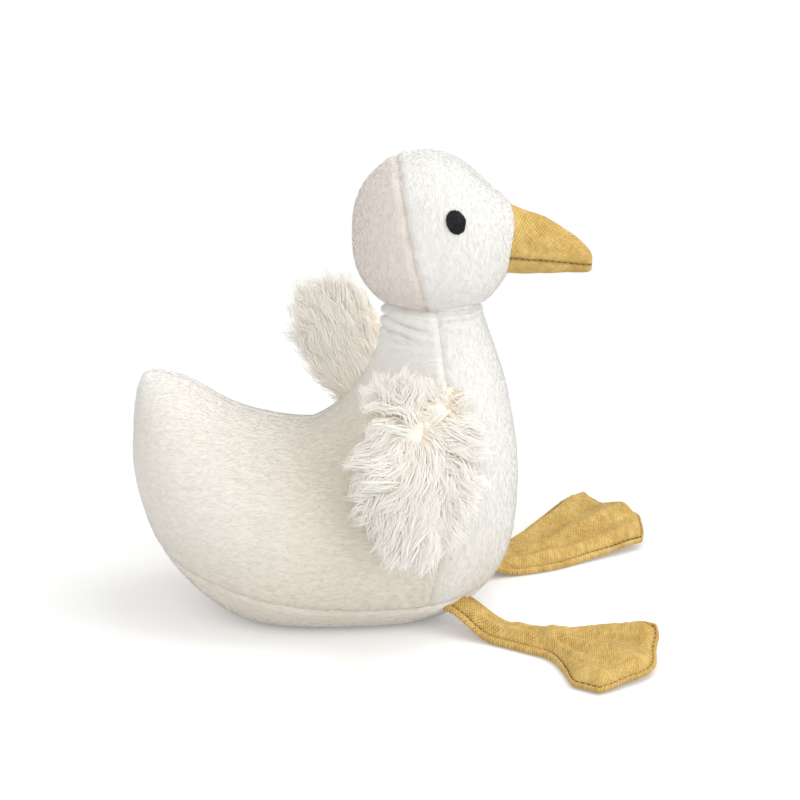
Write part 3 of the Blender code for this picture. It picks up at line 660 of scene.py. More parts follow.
class StitchTree(GrowthTree):
    """Lays short stitches end to end along a seam, with a gap between them."""

    def __init__(self) -> None:
        """Build the tree."""
        super().__init__("stitches")
        book = self.book
        pitch = self.amount("Pitch")
        half = self.amount("Stitch length") * 0.5
        width = self.amount("Thread width")
        jitter = self.amount("Jitter")
        seed = self.amount("Seed", "Int")
        path = book.node("GeometryNodeMeshToCurve", None, {"Mesh": self.source})
        paces = {"Curve": path, "Length": pitch}
        steps = book.node("GeometryNodeResampleCurve", {"mode": "LENGTH"}, paces)
        heading = book.arrow("GeometryNodeInputTangent") + self.shake(seed) * jitter
        align = "FunctionNodeAlignRotationToVector"
        turn = book.node(align, {"axis": "Z"}, {"Vector": heading})
        start = book.node("ShaderNodeCombineXYZ", None, {2: half * -1.0})
        end = book.node("ShaderNodeCombineXYZ", None, {2: half})
        line = book.node("GeometryNodeCurvePrimitiveLine", None, {"Start": start, "End": end})
        evenly = {"Curve": line, "Count": 5}
        drawn = book.node("GeometryNodeResampleCurve", {"mode": "COUNT"}, evenly)
        share = book.signal("GeometryNodeSplineParameter")
        round_ends = (share * 2.0 - 1.0).size() ** 3.0
        thread = self.swept(drawn, 6, 0.5, 1.0, width * (1.0 - round_ends * 0.6))
        laying = {"Points": steps, "Instance": thread, "Rotation": turn}
        self.close(book.node("GeometryNodeInstanceOnPoints", None, laying))

    def sew(
        self,
        name: str,
        slot: str,
        points: Sequence[Vector],
        edges: Iterable[Sequence[int]],
        stitch: Stitch,
        thread: Material,
    ) -> Object:
        """Sew along a line.

        Args:
            name: the stitches' name.
            slot: not used.
            points: the line's points.
            edges: the pairs of points that it joins.
            stitch: the stitches' sizes.
            thread: their material.

        Returns:
            The stitches as one piece.
        """
        line = new_piece(name + "_line", mesh_from(name, points, (), edges))
        values = {
            "Pitch": stitch.pitch,
            "Stitch length": stitch.length,
            "Thread width": stitch.width,
            "Jitter": stitch.jitter,
            "Seed": stitch.seed,
            "Material": thread,
        }
        sewn = self.grow(line, name, values)
        drop(line)
        return sewn


class ThreadTree(GrowthTree):
    """Turns drawn lines into round threads that thin at both ends."""

    def __init__(self) -> None:
        """Build the tree."""
        super().__init__("threads")
        width = self.amount("Thread width")
        path = self.book.node("GeometryNodeMeshToCurve", None, {"Mesh": self.source})
        share = self.book.signal("GeometryNodeSplineParameter")
        ends = (share * 2.0 - 1.0).size() ** 6.0
        self.close(self.swept(path, 6, 0.5, 1.0, width * (1.0 - ends * 0.5)))


# Mesh helpers


def evaluated_mesh(item: Object) -> Mesh:
    """What an object's modifiers make of it. Returns: a plain mesh."""
    depsgraph = bpy.context.evaluated_depsgraph_get()
    return bpy.data.meshes.new_from_object(
        item.evaluated_get(depsgraph), preserve_all_data_layers=True, depsgraph=depsgraph
    )


def new_piece(name: str, mesh: Mesh) -> Object:
    """Put a mesh in the scene. Returns: its object."""
    mesh.name = name
    piece = bpy.data.objects.new(name, mesh)
    bpy.context.scene.collection.objects.link(piece)
    return piece


def drop(item: Object) -> None:
    """Remove a helper object and its mesh."""
    mesh = item.data
    bpy.data.objects.remove(item)
    bpy.data.meshes.remove(mesh)


def mesh_from(
    name: str, points: Sequence[Vector], faces: Iterable[Sequence[int]] = (), edges: Any = ()
) -> Mesh:
    """Make a smooth mesh from points, faces and loose edges. Returns: the mesh."""
    mesh = bpy.data.meshes.new(name)
    mesh.from_pydata([tuple(point) for point in points], list(edges), list(faces))
    mesh.shade_smooth()
    return mesh


def in_order(item: Object) -> None:
    """Number a mesh's points and faces by place, because a Boolean shuffles them each run."""
    old = item.data
    places = [tuple(vertex.co) for vertex in old.vertices]
    order = sorted(range(len(places)), key=lambda index: places[index])
    number = {index: rank for rank, index in enumerate(order)}
    faces = []
    for polygon in old.polygons:
        face = [number[index] for index in polygon.vertices]
        first = face.index(min(face))
        faces.append(face[first:] + face[:first])
    item.data = mesh_from(old.name, [places[index] for index in order], sorted(faces))
    bpy.data.meshes.remove(old)


def grid_faces(rows: int, columns: int) -> list[list[int]]:
    """The four-sided faces of a grid of points, row by row."""
    corners = (row * columns + column for row in range(rows - 1) for column in range(columns - 1))
    return [[a, a + columns, a + columns + 1, a + 1] for a in corners]


def lifted(points: Sequence[Vector], faces: Iterable[Sequence[int]]) -> tuple[list, list]:
    """Take some faces or edges and only the points that they use. Returns: points and faces."""
    used = sorted({index for face in faces for index in face})
    number = {old: new for new, old in enumerate(used)}
    return [points[i] for i in used], [[number[i] for i in face] for face in faces]


def borders(faces: Sequence[list[int]], owners: Sequence[str]) -> dict[str, list[tuple]]:
    """Find the edges where parts of a surface meet.

    Args:
        faces: the surface's faces.
        owners: the name of the part that each face belongs to.

    Returns:
        The edges, by the names of the two parts that they join.
    """
    sides: dict[tuple[int, int], set[str]] = {}
    for face, owner in zip(faces, owners):
        for start, end in zip(face, face[1:] + face[:1]):
            sides.setdefault((min(start, end), max(start, end)), set()).add(owner)
    lines: dict[str, list[tuple]] = {}
    for edge, both in sides.items():
        if len(both) == 2:
            lines.setdefault("-".join(sorted(both)), []).append(edge)
    return lines


def slab_mesh(name: str, upper: Sequence[Vector], lower: Sequence[Vector], columns: int) -> Mesh:
    """Close two grids of the same size into a slab.

    Args:
        name: the mesh's name.
        upper: the upper grid's points, row by row.
        lower: the lower grid's points.
        columns: how many points a row has.

    Returns:
        The closed mesh, facing outwards.
    """
    count = len(upper)
    rows = count // columns
    faces = grid_faces(rows, columns)
    faces += [[count + index for index in reversed(face)] for face in faces]
    rim = list(range(columns))
    rim += [row * columns + columns - 1 for row in range(1, rows)]
    rim += [(rows - 1) * columns + column for column in range(columns - 2, -1, -1)]
    rim += [row * columns for row in range(rows - 2, 0, -1)]
    for first, second in zip(rim, rim[1:] + rim[:1]):
        faces.append([first, second, second + count, first + count])
    mesh = mesh_from(name, [*upper, *lower], faces)
    bm = bmesh.new()
    bm.from_mesh(mesh)
    bmesh.ops.recalc_face_normals(bm, faces=bm.faces)
    bm.to_mesh(mesh)
    bm.free()
    return mesh


def give(mesh: Mesh, name: str, values: Sequence[Any]) -> None:
    """Store a number or a vector for each of a mesh's points under a name."""
    data = np.array([tuple(v) if isinstance(v, Vector) else v for v in values], np.float32)
    is_vector = data.ndim == 2
    kind = "FLOAT_VECTOR" if is_vector else "FLOAT"
    layer = mesh.attributes.new(name, kind, "POINT")
    layer.data.foreach_set("vector" if is_vector else "value", data.ravel())


def bake_modifiers(item: Object) -> None:
    """Replace an object's mesh by what its modifiers make of it."""
    mesh = evaluated_mesh(item)
    old = item.data
    item.modifiers.clear()
    item.data = mesh
    bpy.data.meshes.remove(old)


def thicken(item: Object, thickness: float) -> None:
    """Give an open sheet a wall that grows inwards, closed at its rim."""
    wall = item.modifiers.new("Wall", "SOLIDIFY")
    wall.thickness = thickness
    wall.offset = -1.0
    wall.use_rim = True
    bake_modifiers(item)


def soften_shading(piece: Object, softness: float) -> None:
    """Shade hairs like the ground that they grow on, as soft pile looks.

    The side of a hair that faces the ground keeps its own shading.

    Args:
        piece: hairs whose points carry the ground's normal.
        softness: how strongly the ground's normal counts.
    """
    mesh = piece.data
    ground = np.zeros(len(mesh.vertices) * 3, np.float32)
    mesh.attributes["ground"].data.foreach_get("vector", ground)
    own = np.zeros(len(mesh.polygons) * 3, np.float32)
    mesh.polygons.foreach_get("normal", own)
    corners = np.zeros(len(mesh.loops), np.int32)
    mesh.loops.foreach_get("vertex_index", corners)
    sizes = np.zeros(len(mesh.polygons), np.int32)
    mesh.polygons.foreach_get("loop_total", sizes)
    ground = ground.reshape(-1, 3)[corners]
    own = np.repeat(own.reshape(-1, 3), sizes, axis=0)
    facing = np.clip((ground * own).sum(axis=1, keepdims=True) * 2.0 + 0.8, 0.0, 1.0)
    blend = own + ground * facing * softness
    blend /= np.maximum(np.linalg.norm(blend, axis=1, keepdims=True), 1e-6)
    mesh.normals_split_custom_set(blend)
    for name in ("ground", "root", "way", "lift", "gather", "reach", "phase"):
        if name in mesh.attributes:
            mesh.attributes.remove(mesh.attributes[name])


def step(value: float, start: float, end: float) -> float:
    """Rise smoothly from 0 at the start to 1 at the end."""
    share = min(1.0, max(0.0, (value - start) / (end - start)))
    return share * share * (3.0 - 2.0 * share)


def bell(value: float, width: float) -> float:
    """1 at zero, falling smoothly away over the width."""
    return math.exp(-((value / width) ** 2))


def wobble(place: Vector, size: float, shift: float = 0.0) -> float:
    """Smooth noise from -1 to 1 whose bumps are about the size across."""
    return noise.noise(place / size + Vector((shift, shift * 1.7, -shift)))


# The goose's form


@dataclass(frozen=True)
class Section:
    """One cross-section of a stuffed form: top and bottom in profile, and half width."""

    top: Pair
    bottom: Pair
    half_width: float

    def ring(self, sides: int, low_weight: float) -> list[Vector]:
        """The section's points, fuller below its middle.

        Args:
            sides: how many points it has.
            low_weight: how much fuller it is below.

        Returns:
            The points, opened a little because subdivision draws them in.
        """
        grow = 3 / (2 + math.cos(2 * math.pi / sides))
        top = Vector((self.top[0], 0, self.top[1]))
        bottom = Vector((self.bottom[0], 0, self.bottom[1]))
        middle = (top + bottom) / 2
        upward = (top - bottom) / 2
        points = []
        for index in range(sides):
            angle = 2 * math.pi * index / sides
            width = self.half_width * math.sin(angle) * (1 - low_weight * math.cos(angle))
            points.append(middle + (upward * math.cos(angle) + Vector((0, width, 0))) * grow)
        return points


def lofted(name: str, sections: Sequence[Section], sides: int, low_weight: float, levels: int) -> Object:
    """Skin cross-sections, close both ends and round the result.

    Args:
        name: the object's name.
        sections: the cross-sections in order.
        sides: the points of each.
        low_weight: how much fuller they are below.
        levels: how often the surface is subdivided.

    Returns:
        The closed form, facing outwards.
    """
    bm = bmesh.new()
    loops = [[bm.verts.new(p) for p in s.ring(sides, low_weight)] for s in sections]
    for first, second in zip(loops, loops[1:]):
        for index in range(sides):
            after = (index + 1) % sides
            bm.faces.new((first[index], first[after], second[after], second[index]))
    bm.faces.new(loops[0])
    bm.faces.new(reversed(loops[-1]))
    bmesh.ops.recalc_face_normals(bm, faces=bm.faces)
    mesh = bpy.data.meshes.new(name)
    bm.to_mesh(mesh)
    bm.free()
    item = new_piece(name, mesh)
    rounding = item.modifiers.new("Rounding", "SUBSURF")
    rounding.levels = levels
    rounding.render_levels = levels
    bake_modifiers(item)
    return item


def draw_in(item: Object, inset: float) -> None:
    """Move a closed surface's points inwards."""
    bm = bmesh.new()
    bm.from_mesh(item.data)
    bm.normal_update()
    moves = [vertex.normal * inset for vertex in bm.verts]
    for vertex, move in zip(bm.verts, moves):
        vertex.co -= move
    bm.to_mesh(item.data)
    bm.free()


@dataclass(frozen=True)
class Body:
    """The boat-shaped body with its raised tail and neck."""

    width: float = 77 * MM
    tail_reach: float = 74 * MM
    tail_height: float = 79 * MM
    tail_tip_width: float = 7 * MM
    saddle_x: float = -18 * MM
    saddle_height: float = 62.5 * MM
    tail_lean: float = 2 * MM
    stern_height: float = 46 * MM
    chest_reach: float = 49.3 * MM
    chest_height: float = 33 * MM
    seat_back: float = -30 * MM
    seat_front: float = 14 * MM
    belly_drop: float = 5 * MM
    stern_fullness: float = 1.72
    chest_fullness: float = 1.9
    neck_depth: float = 30 * MM
    neck_width: float = 29 * MM
    neck_x: float = 20 * MM
    neck_height: float = 99.5 * MM
    head_height: float = 50.5 * MM
    sides: int = 10
    low_weight: float = 0.2
    levels: int = 3

    def back(self, share: float) -> Pair:
        """A point on the concave line from the saddle back to the tail."""
        run = self.tail_reach + self.saddle_x
        rise = self.tail_height - self.saddle_height
        return (self.saddle_x - run * share, self.saddle_height + rise * share ** 1.5)

    def raised(self, share: float, rise: float) -> Pair:
        """A point of the back, filled out to the tail's blunt end."""
        x, z = self.back(share)
        return (x, z + rise)

    def stern(self, share: float) -> Pair:
        """A point on the tail's end, from its farthest reach up to its tip."""
        rise = self.tail_height - self.stern_height
        x = -self.tail_reach - self.tail_lean * (0.5 - share)
        return (x, self.stern_height + rise * share)

    def keel(self, share: float, seat_x: float, reach: Pair, fullness: float) -> Pair:
        """A point on the round underside, from the seat out to the stern or the chest."""
        angle = share * math.pi / 2
        out = math.sin(angle) ** (2 / fullness)
        down = math.cos(angle) ** (2 / fullness)
        drop_to = reach[1] + self.belly_drop
        return (seat_x + (reach[0] - seat_x) * out, reach[1] - drop_to * down)

    def keel_aft(self, share: float) -> Pair:
        """The underside behind the seat."""
        return self.keel(share, self.seat_back, self.stern(0), self.stern_fullness)

    def keel_fore(self, share: float) -> Pair:
        """The underside in front of the seat."""
        chest = (self.chest_reach, self.chest_height)
        return self.keel(share, self.seat_front, chest, self.chest_fullness)

    def nape(self, share: float) -> Pair:
        """A point on the line from the saddle up the back of the neck."""
        run = self.neck_x - self.neck_depth / 2 - self.saddle_x
        rise = self.neck_height - self.saddle_height
        across = 1 - (1 - share) ** 2.2
        return (self.saddle_x + run * across, self.saddle_height + rise * share ** 1.15)

    def breast(self, share: float) -> Pair:
        """A point on the line from the chest's farthest reach up the throat."""
        run = self.chest_reach - self.neck_x - self.neck_depth / 2
        rise = self.neck_height - self.chest_height
        return (self.chest_reach - run * share ** 2.35, self.chest_height + rise * share)

    def neck(self, share: float) -> Section:
        """A cross-section of the neck, from the seam up into the head."""
        height = self.neck_height + self.head_height * share
        back = (self.neck_x - self.neck_depth / 2, height)
        front = (self.neck_x + self.neck_depth / 2, height)
        return Section(back, front, self.neck_width / 2 * (1 - share / 2))

    def sections(self) -> list[Section]:
        """All cross-sections, from the tail's tip round the saddle and up the neck."""
        half = self.width / 2
        seat_middle = ((self.seat_back + self.seat_front) / 2, -self.belly_drop)
        return [
            Section(self.raised(0.95, 1.2 * MM), self.stern(0.72), self.tail_tip_width / 2),
            Section(self.raised(0.84, 3.8 * MM), self.stern(0.42), half * 0.27),
            Section(self.raised(0.66, 4.8 * MM), self.stern(0.0), half * 0.50),
            Section(self.raised(0.48, 0.8 * MM), self.keel_aft(0.72), half * 0.71),
            Section(self.back(0.30), self.keel_aft(0.48), half * 0.86),
            Section(self.back(0.14), self.keel_aft(0.25), half * 0.95),
            Section(self.back(0.0), self.keel_aft(0.0), half),
            Section(self.nape(0.05), seat_middle, half),
            Section(self.nape(0.12), self.keel_fore(0.0), half * 0.99),
            Section(self.nape(0.20), self.keel_fore(0.38), half * 0.96),
            Section(self.nape(0.30), self.keel_fore(0.68), half * 0.90),
            Section(self.nape(0.42), self.keel_fore(1.0), half * 0.80),
            Section(self.nape(0.56), self.breast(0.37), half * 0.67),
            Section(self.nape(0.72), self.breast(0.61), half * 0.53),
            Section(self.nape(0.88), self.breast(0.83), self.neck_width / 2 * 1.08),
            self.neck(0.02),
            self.neck(0.16),
        ]

    def form(self) -> Object:
        """Build the closed body. Returns: its object."""
        return lofted("body_form", self.sections(), self.sides, self.low_weight, self.levels)


@dataclass(frozen=True)
class Head:
    """The head's ball, a little square in profile and flatter above the beak."""

    depth: float = 50.5 * MM
    width: float = 49 * MM
    height: float = 50.5 * MM
    x: float = 20.5 * MM
    foot: float = 97.5 * MM
    fullness: float = 2.25
    low_fullness: float = 2.55
    slope: float = 4.3 * MM
    cheek: float = 2.4 * MM
    segments: int = 72
    rings: int = 44

    @property
    def centre(self) -> Vector:
        """The middle of the ball."""
        return Vector((self.x, 0, self.foot + self.height / 2))

    def point(self, direction: Vector) -> Vector:
        """Where the ball's surface is, out from its middle along a direction."""
        fullness = self.fullness if direction.z > 0 else self.low_fullness
        flat = math.hypot(direction.x, direction.y)
        power = (flat ** fullness + abs(direction.z) ** fullness) ** (1 / fullness)
        ball = direction / power
        forehead = Vector((0.72, 0, 0.69))
        slope = max(0.0, direction.dot(forehead)) ** 6 * self.slope
        cheek = max(0.0, direction.dot(Vector((0.985, 0, 0.17)))) ** 10 * self.cheek
        size = Vector((self.depth / 2, self.width / 2, self.height / 2))
        return self.centre + ball * size + direction * (cheek - slope)

    def form(self) -> Object:
        """Build the closed ball. Returns: its object."""
        bm = bmesh.new()
        bmesh.ops.create_uvsphere(bm, u_segments=self.segments, v_segments=self.rings, radius=1)
        for vertex in bm.verts:
            vertex.co = self.point(vertex.co.normalized())
        mesh = bpy.data.meshes.new("head_form")
        bm.to_mesh(mesh)
        bm.free()
        return new_piece("head_form", mesh)


@dataclass(frozen=True)
class Seam:
    """A sewn line: how far a point is from it in profile, and how far along it."""

    name: str
    offset: Callable[[Vector], float]
    along: Callable[[Vector], float]
    covers: Callable[[Vector], bool]
    depth: float
    swell: float
    pucker: float
    swell_at: float = 2.1 * MM
    reach: float = 9 * MM
    gather: float = 3.4 * MM

    def relief(self, place: Vector) -> float:
        """How far the seam moves the cloth out at a place: groove, ridges and puckers."""
        gap = abs(self.offset(place))
        if gap > self.reach or not self.covers(place):
            return 0.0
        along = Vector((self.along(place), 0.0, math.copysign(7 * MM, self.offset(place))))
        gathers = wobble(along, self.gather) + 0.6 * wobble(along, self.gather / 2, 9.0)
        groove = -self.depth * bell(gap, 1.0 * MM) * (1 + 0.45 * gathers)
        ridge = self.swell * bell(gap - self.swell_at, 1.3 * MM)
        return groove + ridge + self.pucker * gathers * bell(gap - 1.6 * MM, 2.6 * MM)


@dataclass(frozen=True)
class Fold:
    """A crease between two places in profile, with a soft roll below it."""

    start: Pair
    end: Pair
    depth: float
    width: float

    def relief(self, place: Vector) -> float:
        """How far the fold moves the cloth out at a place."""
        here = Vector((place.x, place.z))
        start = Vector(self.start)
        run = Vector(self.end) - start
        share = (here - start).dot(run) / run.length_squared
        if not -0.2 < share < 1.2:
            return 0.0
        fade = step(share, -0.2, 0.2) * (1 - step(share, 0.8, 1.2))
        gap = (here - start - run * share).dot(Vector((-run.y, run.x)).normalized())
        crease = -self.depth * bell(gap, self.width)
        roll = 0.6 * self.depth * bell(abs(gap) - 1.9 * self.width, self.width)
        return fade * (crease + roll)


def cut_along(bm: bmesh.types.BMesh, seam: Seam, snap: float = 0.12) -> None:
    """Split the faces that a seam crosses, so that edges run along it.

    Args:
        bm: the surface, which is changed in place.
        seam: the line of the cut.
        snap: the share of an edge within which its end moves to the line instead.
    """
    faces = [face for face in bm.faces if seam.covers(face.calc_center_median())]
    value = {v: seam.offset(v.co) for face in faces for v in face.verts}
    edges = list(dict.fromkeys(edge for face in faces for edge in face.edges))
    for edge in edges:
        first, second = edge.verts
        if value[first] * value[second] < 0:
            share = value[first] / (value[first] - value[second])
            if share > 0.5:
                first, second, share = second, first, 1 - share
            if share < snap:
                first.co += (second.co - first.co) * share
                value[first] = 0.0
    for edge in edges:
        first, second = edge.verts
        if value[first] * value[second] < 0:
            share = value[first] / (value[first] - value[second])
            _half, made = bmesh.utils.edge_split(edge, first, share)
            value[made] = 0.0
    for face in faces:
        on_line = [v for v in face.verts if value.get(v, 1.0) == 0.0]
        if len(on_line) != 2:
            continue
        if not any(edge.other_vert(on_line[0]) is on_line[1] for edge in on_line[0].link_edges):
            bmesh.utils.face_split(face, on_line[0], on_line[1])


class GooseForm:
    """Body and head as one fine closed skin, cut along its seams into panels."""

    INSET = 0.6 * MM
    CLOTH = 0.9 * MM
    BAND = 3.2 * MM
    WELD = 0.02 * MM
    DEEPEST = 1.1 * MM
    FLOOR_ROUNDING = 1.0 * MM

    def __init__(self, body: Body, head: Head) -> None:
        """Args: body: the body's sizes. head: the head's sizes."""
        self.body = body
        self.head = head
        self.neck_height = 100.1 * MM
        self.seams = self._seams()
        self.folds = [
            Fold((3 * MM, 96.9 * MM), (18 * MM, 93.6 * MM), 1.2 * MM, 0.8 * MM),
            Fold((4 * MM, 92.6 * MM), (14 * MM, 91.6 * MM), 0.9 * MM, 0.7 * MM),
            Fold((7 * MM, 89.6 * MM), (19 * MM, 89.9 * MM), 0.5 * MM, 0.7 * MM),
            Fold((25 * MM, 96.6 * MM), (35 * MM, 97.2 * MM), 0.7 * MM, 0.8 * MM),
            Fold((22 * MM, 12.0 * MM), (26 * MM, 26 * MM), 0.35 * MM, 1.0 * MM),
            Fold((14 * MM, 12.0 * MM), (10 * MM, 24 * MM), 0.3 * MM, 1.0 * MM),
        ]

    # Where the seams run in profile

    def belly_height(self, x: float) -> float:
        """How high the belly seam runs at a place along the body."""
        aft = (5 * MM - x) / (5 * MM + self.body.tail_reach)
        fore = (x - 5 * MM) / (self.body.chest_reach - 5 * MM)
        rise = 18 * MM * max(aft, 0) ** 1.9 + 2.2 * MM * max(fore, 0) ** 1.5
        return 10.2 * MM + rise

    def side_x(self, z: float) -> float:
        """How far forward the side seam runs at a height."""
        foot = self.belly_height(19 * MM)
        share = (self.neck_height - z) / (self.neck_height - foot)
        bow = 5 * MM * math.sin(math.pi * min(1.0, max(0.0, share)))
        return (21.5 - 2.5 * share) * MM + bow

    def head_x(self, z: float) -> float:
        """How far forward the ear-to-ear seam runs at a height."""
        share = (z - self.neck_height) / (1.08 * self.head.height)
        bow = 1.0 * MM * math.sin(math.pi * min(1.0, max(0.0, share)))
        return (18.5 - 10.2 * share) * MM - bow

    def _seams(self) -> list[Seam]:
        """All seams, in the order in which they are cut."""
        neck = self.neck_height

        def round_neck(p: Vector) -> float:
            """How far round the neck a point is."""
            return math.atan2(p.y, p.x - self.body.neck_x) * self.body.neck_width / 2

        return [
            Seam("neck", lambda p: p.z - neck, round_neck,
                 lambda p: True, 0.8 * MM, 0.25 * MM, 0.22 * MM),
            Seam("belly", lambda p: p.z - self.belly_height(p.x), lambda p: p.x + p.y,
                 lambda p: p.z < neck, 0.38 * MM, 0.12 * MM, 0.12 * MM),
            Seam("side", lambda p: p.x - self.side_x(p.z), lambda p: p.z,
                 lambda p: self.belly_height(p.x) < p.z < neck,
                 0.36 * MM, 0.14 * MM, 0.16 * MM),
            Seam("head", lambda p: p.x - self.head_x(p.z), lambda p: p.z + abs(p.y),
                 lambda p: p.z > neck, 0.5 * MM, 0.16 * MM, 0.36 * MM),
            Seam("crown", lambda p: p.y, lambda p: p.x + p.z,
                 lambda p: p.z > neck, 0.35 * MM, 0.15 * MM, 0.14 * MM),
            Seam("back", lambda p: p.y, lambda p: p.x + p.z,
                 lambda p: self.belly_height(p.x) < p.z < neck and p.x < self.side_x(p.z),
                 0.35 * MM, 0.15 * MM, 0.14 * MM),
        ]

    def panel_of(self, place: Vector) -> str:
        """Which panel a place on the skin belongs to. Returns: the CAD node's name."""
        side = Side.LEFT if place.y > 0 else Side.RIGHT
        if place.z > self.neck_height:
            fore = place.x > self.head_x(place.z)
            return ("face_panel_" if fore else "head_back_panel_") + side.word
        if place.z < self.belly_height(place.x):
            return "belly_panel"
        if place.x > self.side_x(place.z):
            return "chest_panel"
        return "side_panel_" + side.word

    def shade(self, place: Vector) -> float:
        """How much painted shade a place gets: behind the head's seam, where the nap also lies the other
        way, and on the body by the wing, low down and below the neck.
        """
        if place.z > self.neck_height:
            # The back of the head: painted shade over the nap lying the other way.
            return 0.95 * step(self.head_x(place.z) - place.x, -3.5 * MM, 1.5 * MM)
        # The body behind the chest seam: painted shade in the hollow by the wing, darker towards the
        # floor and below the neck.
        behind = step(self.side_x(place.z) - place.x, -7 * MM, 3 * MM)
        hollow = bell(place.x + 3 * MM, 24 * MM) * bell(place.z - 52 * MM, 26 * MM)
        low = 1 - step(place.z, 12 * MM, 44 * MM)
        shade_below_neck = 1 - step(place.z, 60 * MM, 86 * MM)
        return behind * (0.34 * shade_below_neck + 0.5 * hollow + 0.34 * low * (1 - hollow))

    def pile_way(self, panel: str, place: Vector) -> Vector:
        """Which way the nap lies at a place on a panel."""
        sway = wobble(place, 16 * MM, 3.0)
        if panel.startswith("side"):
            return Vector((-1.0, 0.0, -0.25 + 0.35 * sway))
        if panel == "chest_panel":
            fan = (place.x - self.side_x(place.z)) / (30 * MM)
            return Vector((0.25 * fan + 0.2 * sway, 0.35 * place.y / (30 * MM), -1.0))
        if panel == "belly_panel":
            return Vector((-1.0, 0.3 * sway, 0.1))
        return Vector((0.12 + 0.3 * sway, 0.0, -1.0))

    # The surface

    def united(self) -> Object:
        """Join the fine body and head. Returns: one closed form, resting flat."""
        body = self.body.form()
        draw_in(body, self.INSET)
        head = self.head.form()
        draw_in(head, self.INSET)
        union = body.modifiers.new("Union", "BOOLEAN")
        union.operation = "UNION"
        union.solver = "EXACT"
        union.object = head
        bake_modifiers(body)
        drop(head)
        in_order(body)
        return body

    def _refine(self, bm: bmesh.types.BMesh) -> None:
        """Make the mesh finer in a band along every seam."""
        edges = []
        for edge in bm.edges:
            middle = (edge.verts[0].co + edge.verts[1].co) / 2
            if any(abs(s.offset(middle)) < self.BAND and s.covers(middle) for s in self.seams):
                edges.append(edge)
        bmesh.ops.subdivide_edges(bm, edges=edges, cuts=2, use_grid_fill=True)
        band = [
            vertex for vertex in bm.verts
            if any(abs(s.offset(vertex.co)) < self.BAND * 1.2 for s in self.seams)
        ]
        for _ in range(2):
            bmesh.ops.smooth_vert(
                bm, verts=band, factor=0.5, use_axis_x=True, use_axis_y=True, use_axis_z=True
            )

    def _relief(self, place: Vector) -> float:
        """How far seams, folds and soft unevenness move the skin out at a place."""
        seams = sum(seam.relief(place) for seam in self.seams)
        folds = sum(fold.relief(place) for fold in self.folds)
        lumps = 0.35 * MM * wobble(place, 19 * MM) + 0.12 * MM * wobble(place, 6 * MM, 5.0)
        return max(seams, -self.DEEPEST) + folds + lumps

    def skin(self) -> "Skin":
        """Build the whole skin. Returns: its points, faces and what each point carries."""
        form = self.united()
        bm = bmesh.new()
        bm.from_mesh(form.data)
        drop(form)
        bmesh.ops.remove_doubles(bm, verts=bm.verts, dist=self.WELD)
        self._refine(bm)
        for seam in self.seams:
            cut_along(bm, seam)
        bm.normal_update()
        bm.verts.index_update()
        moved = []
        for vertex in bm.verts:
            place = vertex.co + vertex.normal * self._relief(vertex.co)
            place.z = 0.5 * (place.z + math.hypot(place.z, self.FLOOR_ROUNDING))
            moved.append(place)
        faces = [[v.index for v in face.verts] for face in bm.faces]
        panels = [self.panel_of(face.calc_center_median()) for face in bm.faces]
        bm.free()
        return Skin(self, moved, faces, panels)


@dataclass
class Skin:
    """The goose's skin before it is taken apart: points, faces and each face's panel."""

    form: GooseForm
    points: list[Vector]
    faces: list[list[int]]
    panels: list[str]

    def panel(self, name: str) -> Object:
        """Lift one panel out of the skin.

        Args:
            name: the panel's name.

        Returns:
            The open outer face of the panel, with its nap stored on its points.
        """
        own = [face for face, panel in zip(self.faces, self.panels) if panel == name]
        points, faces = lifted(self.points, own)
        item = new_piece(name + "_cloth", mesh_from(name, points, faces))
        give(item.data, "pile_way", [self.form.pile_way(name, p) for p in points])
        give(item.data, "nap", [step(p.z, 1.5 * MM, 4.5 * MM) for p in points])
        # The shade mark carries the pile's painted shade.
        give(item.data, "shade", [self.form.shade(p) for p in points])
        return item

    def tree(self) -> BVHTree:
        """The skin as a search tree, for what is laid on it."""
        return BVHTree.FromPolygons(self.points, self.faces)


class Coat:
    """The pile cloth: eight panels over the filling, their nap and their seams."""

    TUFTS = 1.9e6
    SOFTNESS = 6.0
    FULLNESS = {
        "face_panel": 1.15,
        "head_back_panel": 1.1,
        "chest_panel": 1.0,
        "side_panel": 1.0,
        "belly_panel": 0.6,
    }

    def __init__(self, skin: Skin, cloths: dict[str, Material]) -> None:
        """Args: skin: the goose's skin. cloths: each kind of panel's material."""
        self.skin = skin
        self.cloths = cloths
        self.pile = PileTree()

    def build(self) -> list[Object]:
        """Make every panel and its pile.

        Returns:
            The pieces, each panel before its pile.
        """
        pieces = []
        for seed, name in enumerate(sorted(set(self.skin.panels)), start=1):
            kind = name.removesuffix("_left").removesuffix("_right")
            cloth = self.cloths[kind]
            panel = self.skin.panel(name)
            values = {
                "Tufts per square metre": self.TUFTS * self.FULLNESS[kind],
                "Tuft length": 1.2 * MM,
                "Tuft width": 0.18 * MM,
                "Lean": 0.16,
                "Jitter": 0.22,
                "Seed": seed,
                "Material": cloth,
            }
            tufts = self.pile.grow(panel, name + "_pile", values)
            soften_shading(tufts, self.SOFTNESS)
            thicken(panel, GooseForm.CLOTH)
            panel.data.materials.append(cloth)
            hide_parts(name)
            for piece in (panel, tufts):
                pieces.append(piece)
        return pieces


# Beak


